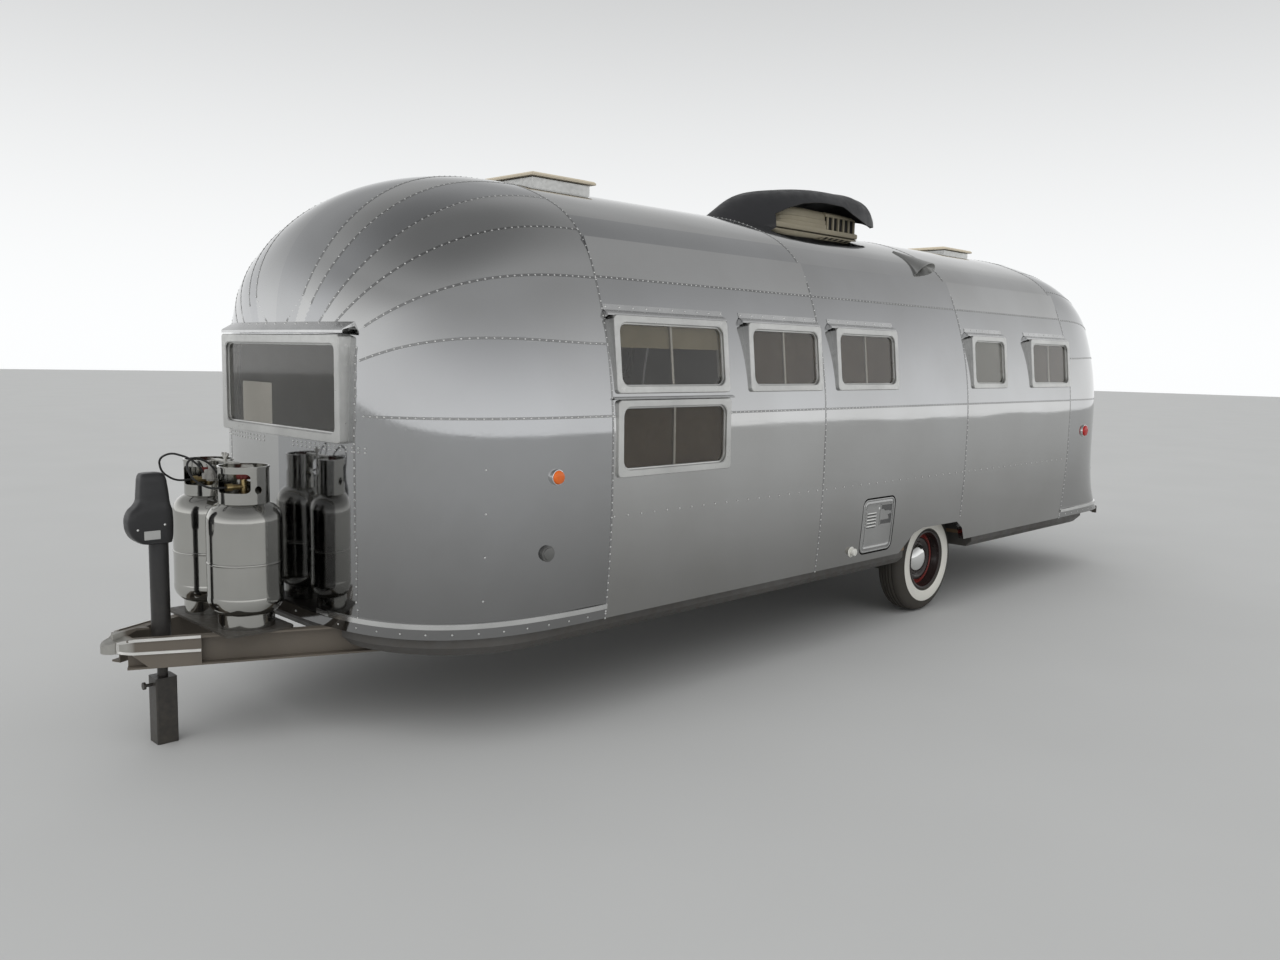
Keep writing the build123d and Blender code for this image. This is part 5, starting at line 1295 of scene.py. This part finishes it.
# Wheels
# Whitewall tyres on dark steel wheels with a red ring and chromed caps. The profile runs from the outer bead
# over the tread, with its four grooves, to the inner bead.
TYRE_HALF = ((0.190, 0.022), (0.203, 0.014), (0.2125, 0.0095), (0.2145, 0.0068), (0.2160, 0.0056),
             (0.228, 0.0030), (0.245, 0.0008), (0.262, 0.0), (0.276, 0.0008), (0.2845, 0.0024),
             (0.2860, 0.0044), (0.300, 0.0080), (0.318, 0.0135), (0.333, 0.0205), (0.343, 0.0285),
             (0.3485, 0.0360), (0.3515, 0.0450), (0.3525, 0.0560), (0.3460, 0.0575), (0.3460, 0.0635),
             (0.3540, 0.0650), (0.3568, 0.0800), (0.3495, 0.0815), (0.3495, 0.0875), (0.3573, 0.0890),
             (0.3578, 0.0960))
TYRE = TYRE_HALF + tuple((r, 0.192 - w) for r, w in TYRE_HALF[-2::-1])
DISC = ((0.190, 0.024), (0.197, 0.020), (0.2005, 0.0155), (0.2005, 0.012), (0.197, 0.0105), (0.192, 0.012),
        (0.188, 0.018), (0.186, 0.026), (0.183, 0.032), (0.178, 0.040), (0.176, 0.058), (0.172, 0.068),
        (0.166, 0.074), (0.156, 0.072), (0.146, 0.066), (0.136, 0.063), (0.124, 0.064), (0.112, 0.070),
        (0.104, 0.076), (0.060, 0.078), (0.0005, 0.078), (0.0005, 0.082), (0.060, 0.082), (0.106, 0.080),
        (0.126, 0.068), (0.146, 0.070), (0.166, 0.078), (0.176, 0.072), (0.180, 0.058), (0.182, 0.042),
        (0.187, 0.034), (0.190, 0.028))
HUB_CAP = ((0.0005, 0.0380), (0.018, 0.0384), (0.036, 0.0400), (0.054, 0.0435), (0.070, 0.0490),
           (0.084, 0.0565), (0.094, 0.0650), (0.1010, 0.0735), (0.1035, 0.0780), (0.1015, 0.0820),
           (0.0005, 0.0820))
WHITE_ROWS = range(3, 9)
RED_ROWS = range(11, 14)
tyre_rubber = shaded_metal("tyre_rubber", (0.020, 0.019, 0.018), 0.0, 0.75, grain=60.0, vary=0.3, soil=0.35)
white_band = shaded_metal("white_band", (0.74, 0.72, 0.66), 0.0, 0.5, grain=25.0, vary=0.05)
wheel_dark = shaded_metal("wheel_dark", (0.022, 0.014, 0.013), 0.0, 0.22, grain=40.0, vary=0.3)
ring_red = shaded_metal("ring_red", (0.16, 0.016, 0.012), 0.0, 0.25, grain=40.0, vary=0.15)
for name, side in (("left", -1), ("right", 1)):
    face = (at(4.190), side * 0.960, 0.358)
    body = f"{name}_wheel"
    piece = metal_piece(f"tyre_{name}_dressed", *through(turned(TYRE, face, -side, 120)[0], around=True),
                        tyre_rubber, "tyre", body, nodes=(f"tyre_{name}",), crease=40)
    with_second(piece, white_band, [int(k // 120 in WHITE_ROWS) for k in range(120 * len(TYRE))])
    piece = metal_piece(f"wheel_{name}_face", *through(turned(DISC, face, -side, 96)[0], around=True),
                        wheel_dark, "wheel_black", body, crease=40)
    with_second(piece, ring_red, [int(k // 96 in RED_ROWS) for k in range(96 * len(DISC))])
    metal_piece(f"hub_cap_{name}_dome", *turned(HUB_CAP, face, -side, 72), bright_chrome, "hub_chrome", body,
                nodes=(f"hub_cap_{name}",), crease=40)
dress(wheel_dark, "wheel_left", "wheel_right")

# Underside
# The axle, springs, step, tray and bumper are black painted steel. An aluminium pan closes the body from
# below, and a plywood floor lies in it. The pan and the wheel boxes are coloured dark grey as painted shade
# under the body, with patchy dirt towards the ground.
frame_steel = shaded_metal("frame_steel", (0.035, 0.034, 0.032), 0.0, 0.5, grain=40.0, vary=0.3, soil=0.6)
dress(frame_steel, "tank_tray", "axle", "leaf_springs", "entry_step", "rear_bumper")
# Painted shade: the pan and wheel boxes get a dark grey for the shade under the body; the patches towards the
# ground are dirt.
dull_aluminium = shaded_metal("dull_aluminium", (0.10, 0.10, 0.10), 0.5, 0.6, grain=20.0, vary=0.2, soil=0.6)
dress(dull_aluminium, "belly_pan", "wheel_boxes")
floor_wood = shaded_metal("floor_wood", (0.22, 0.15, 0.09), 0.0, 0.6, grain=12.0, vary=0.25,
                          streak=(0.2, 3.0, 3.0))
dress(floor_wood, "floor")
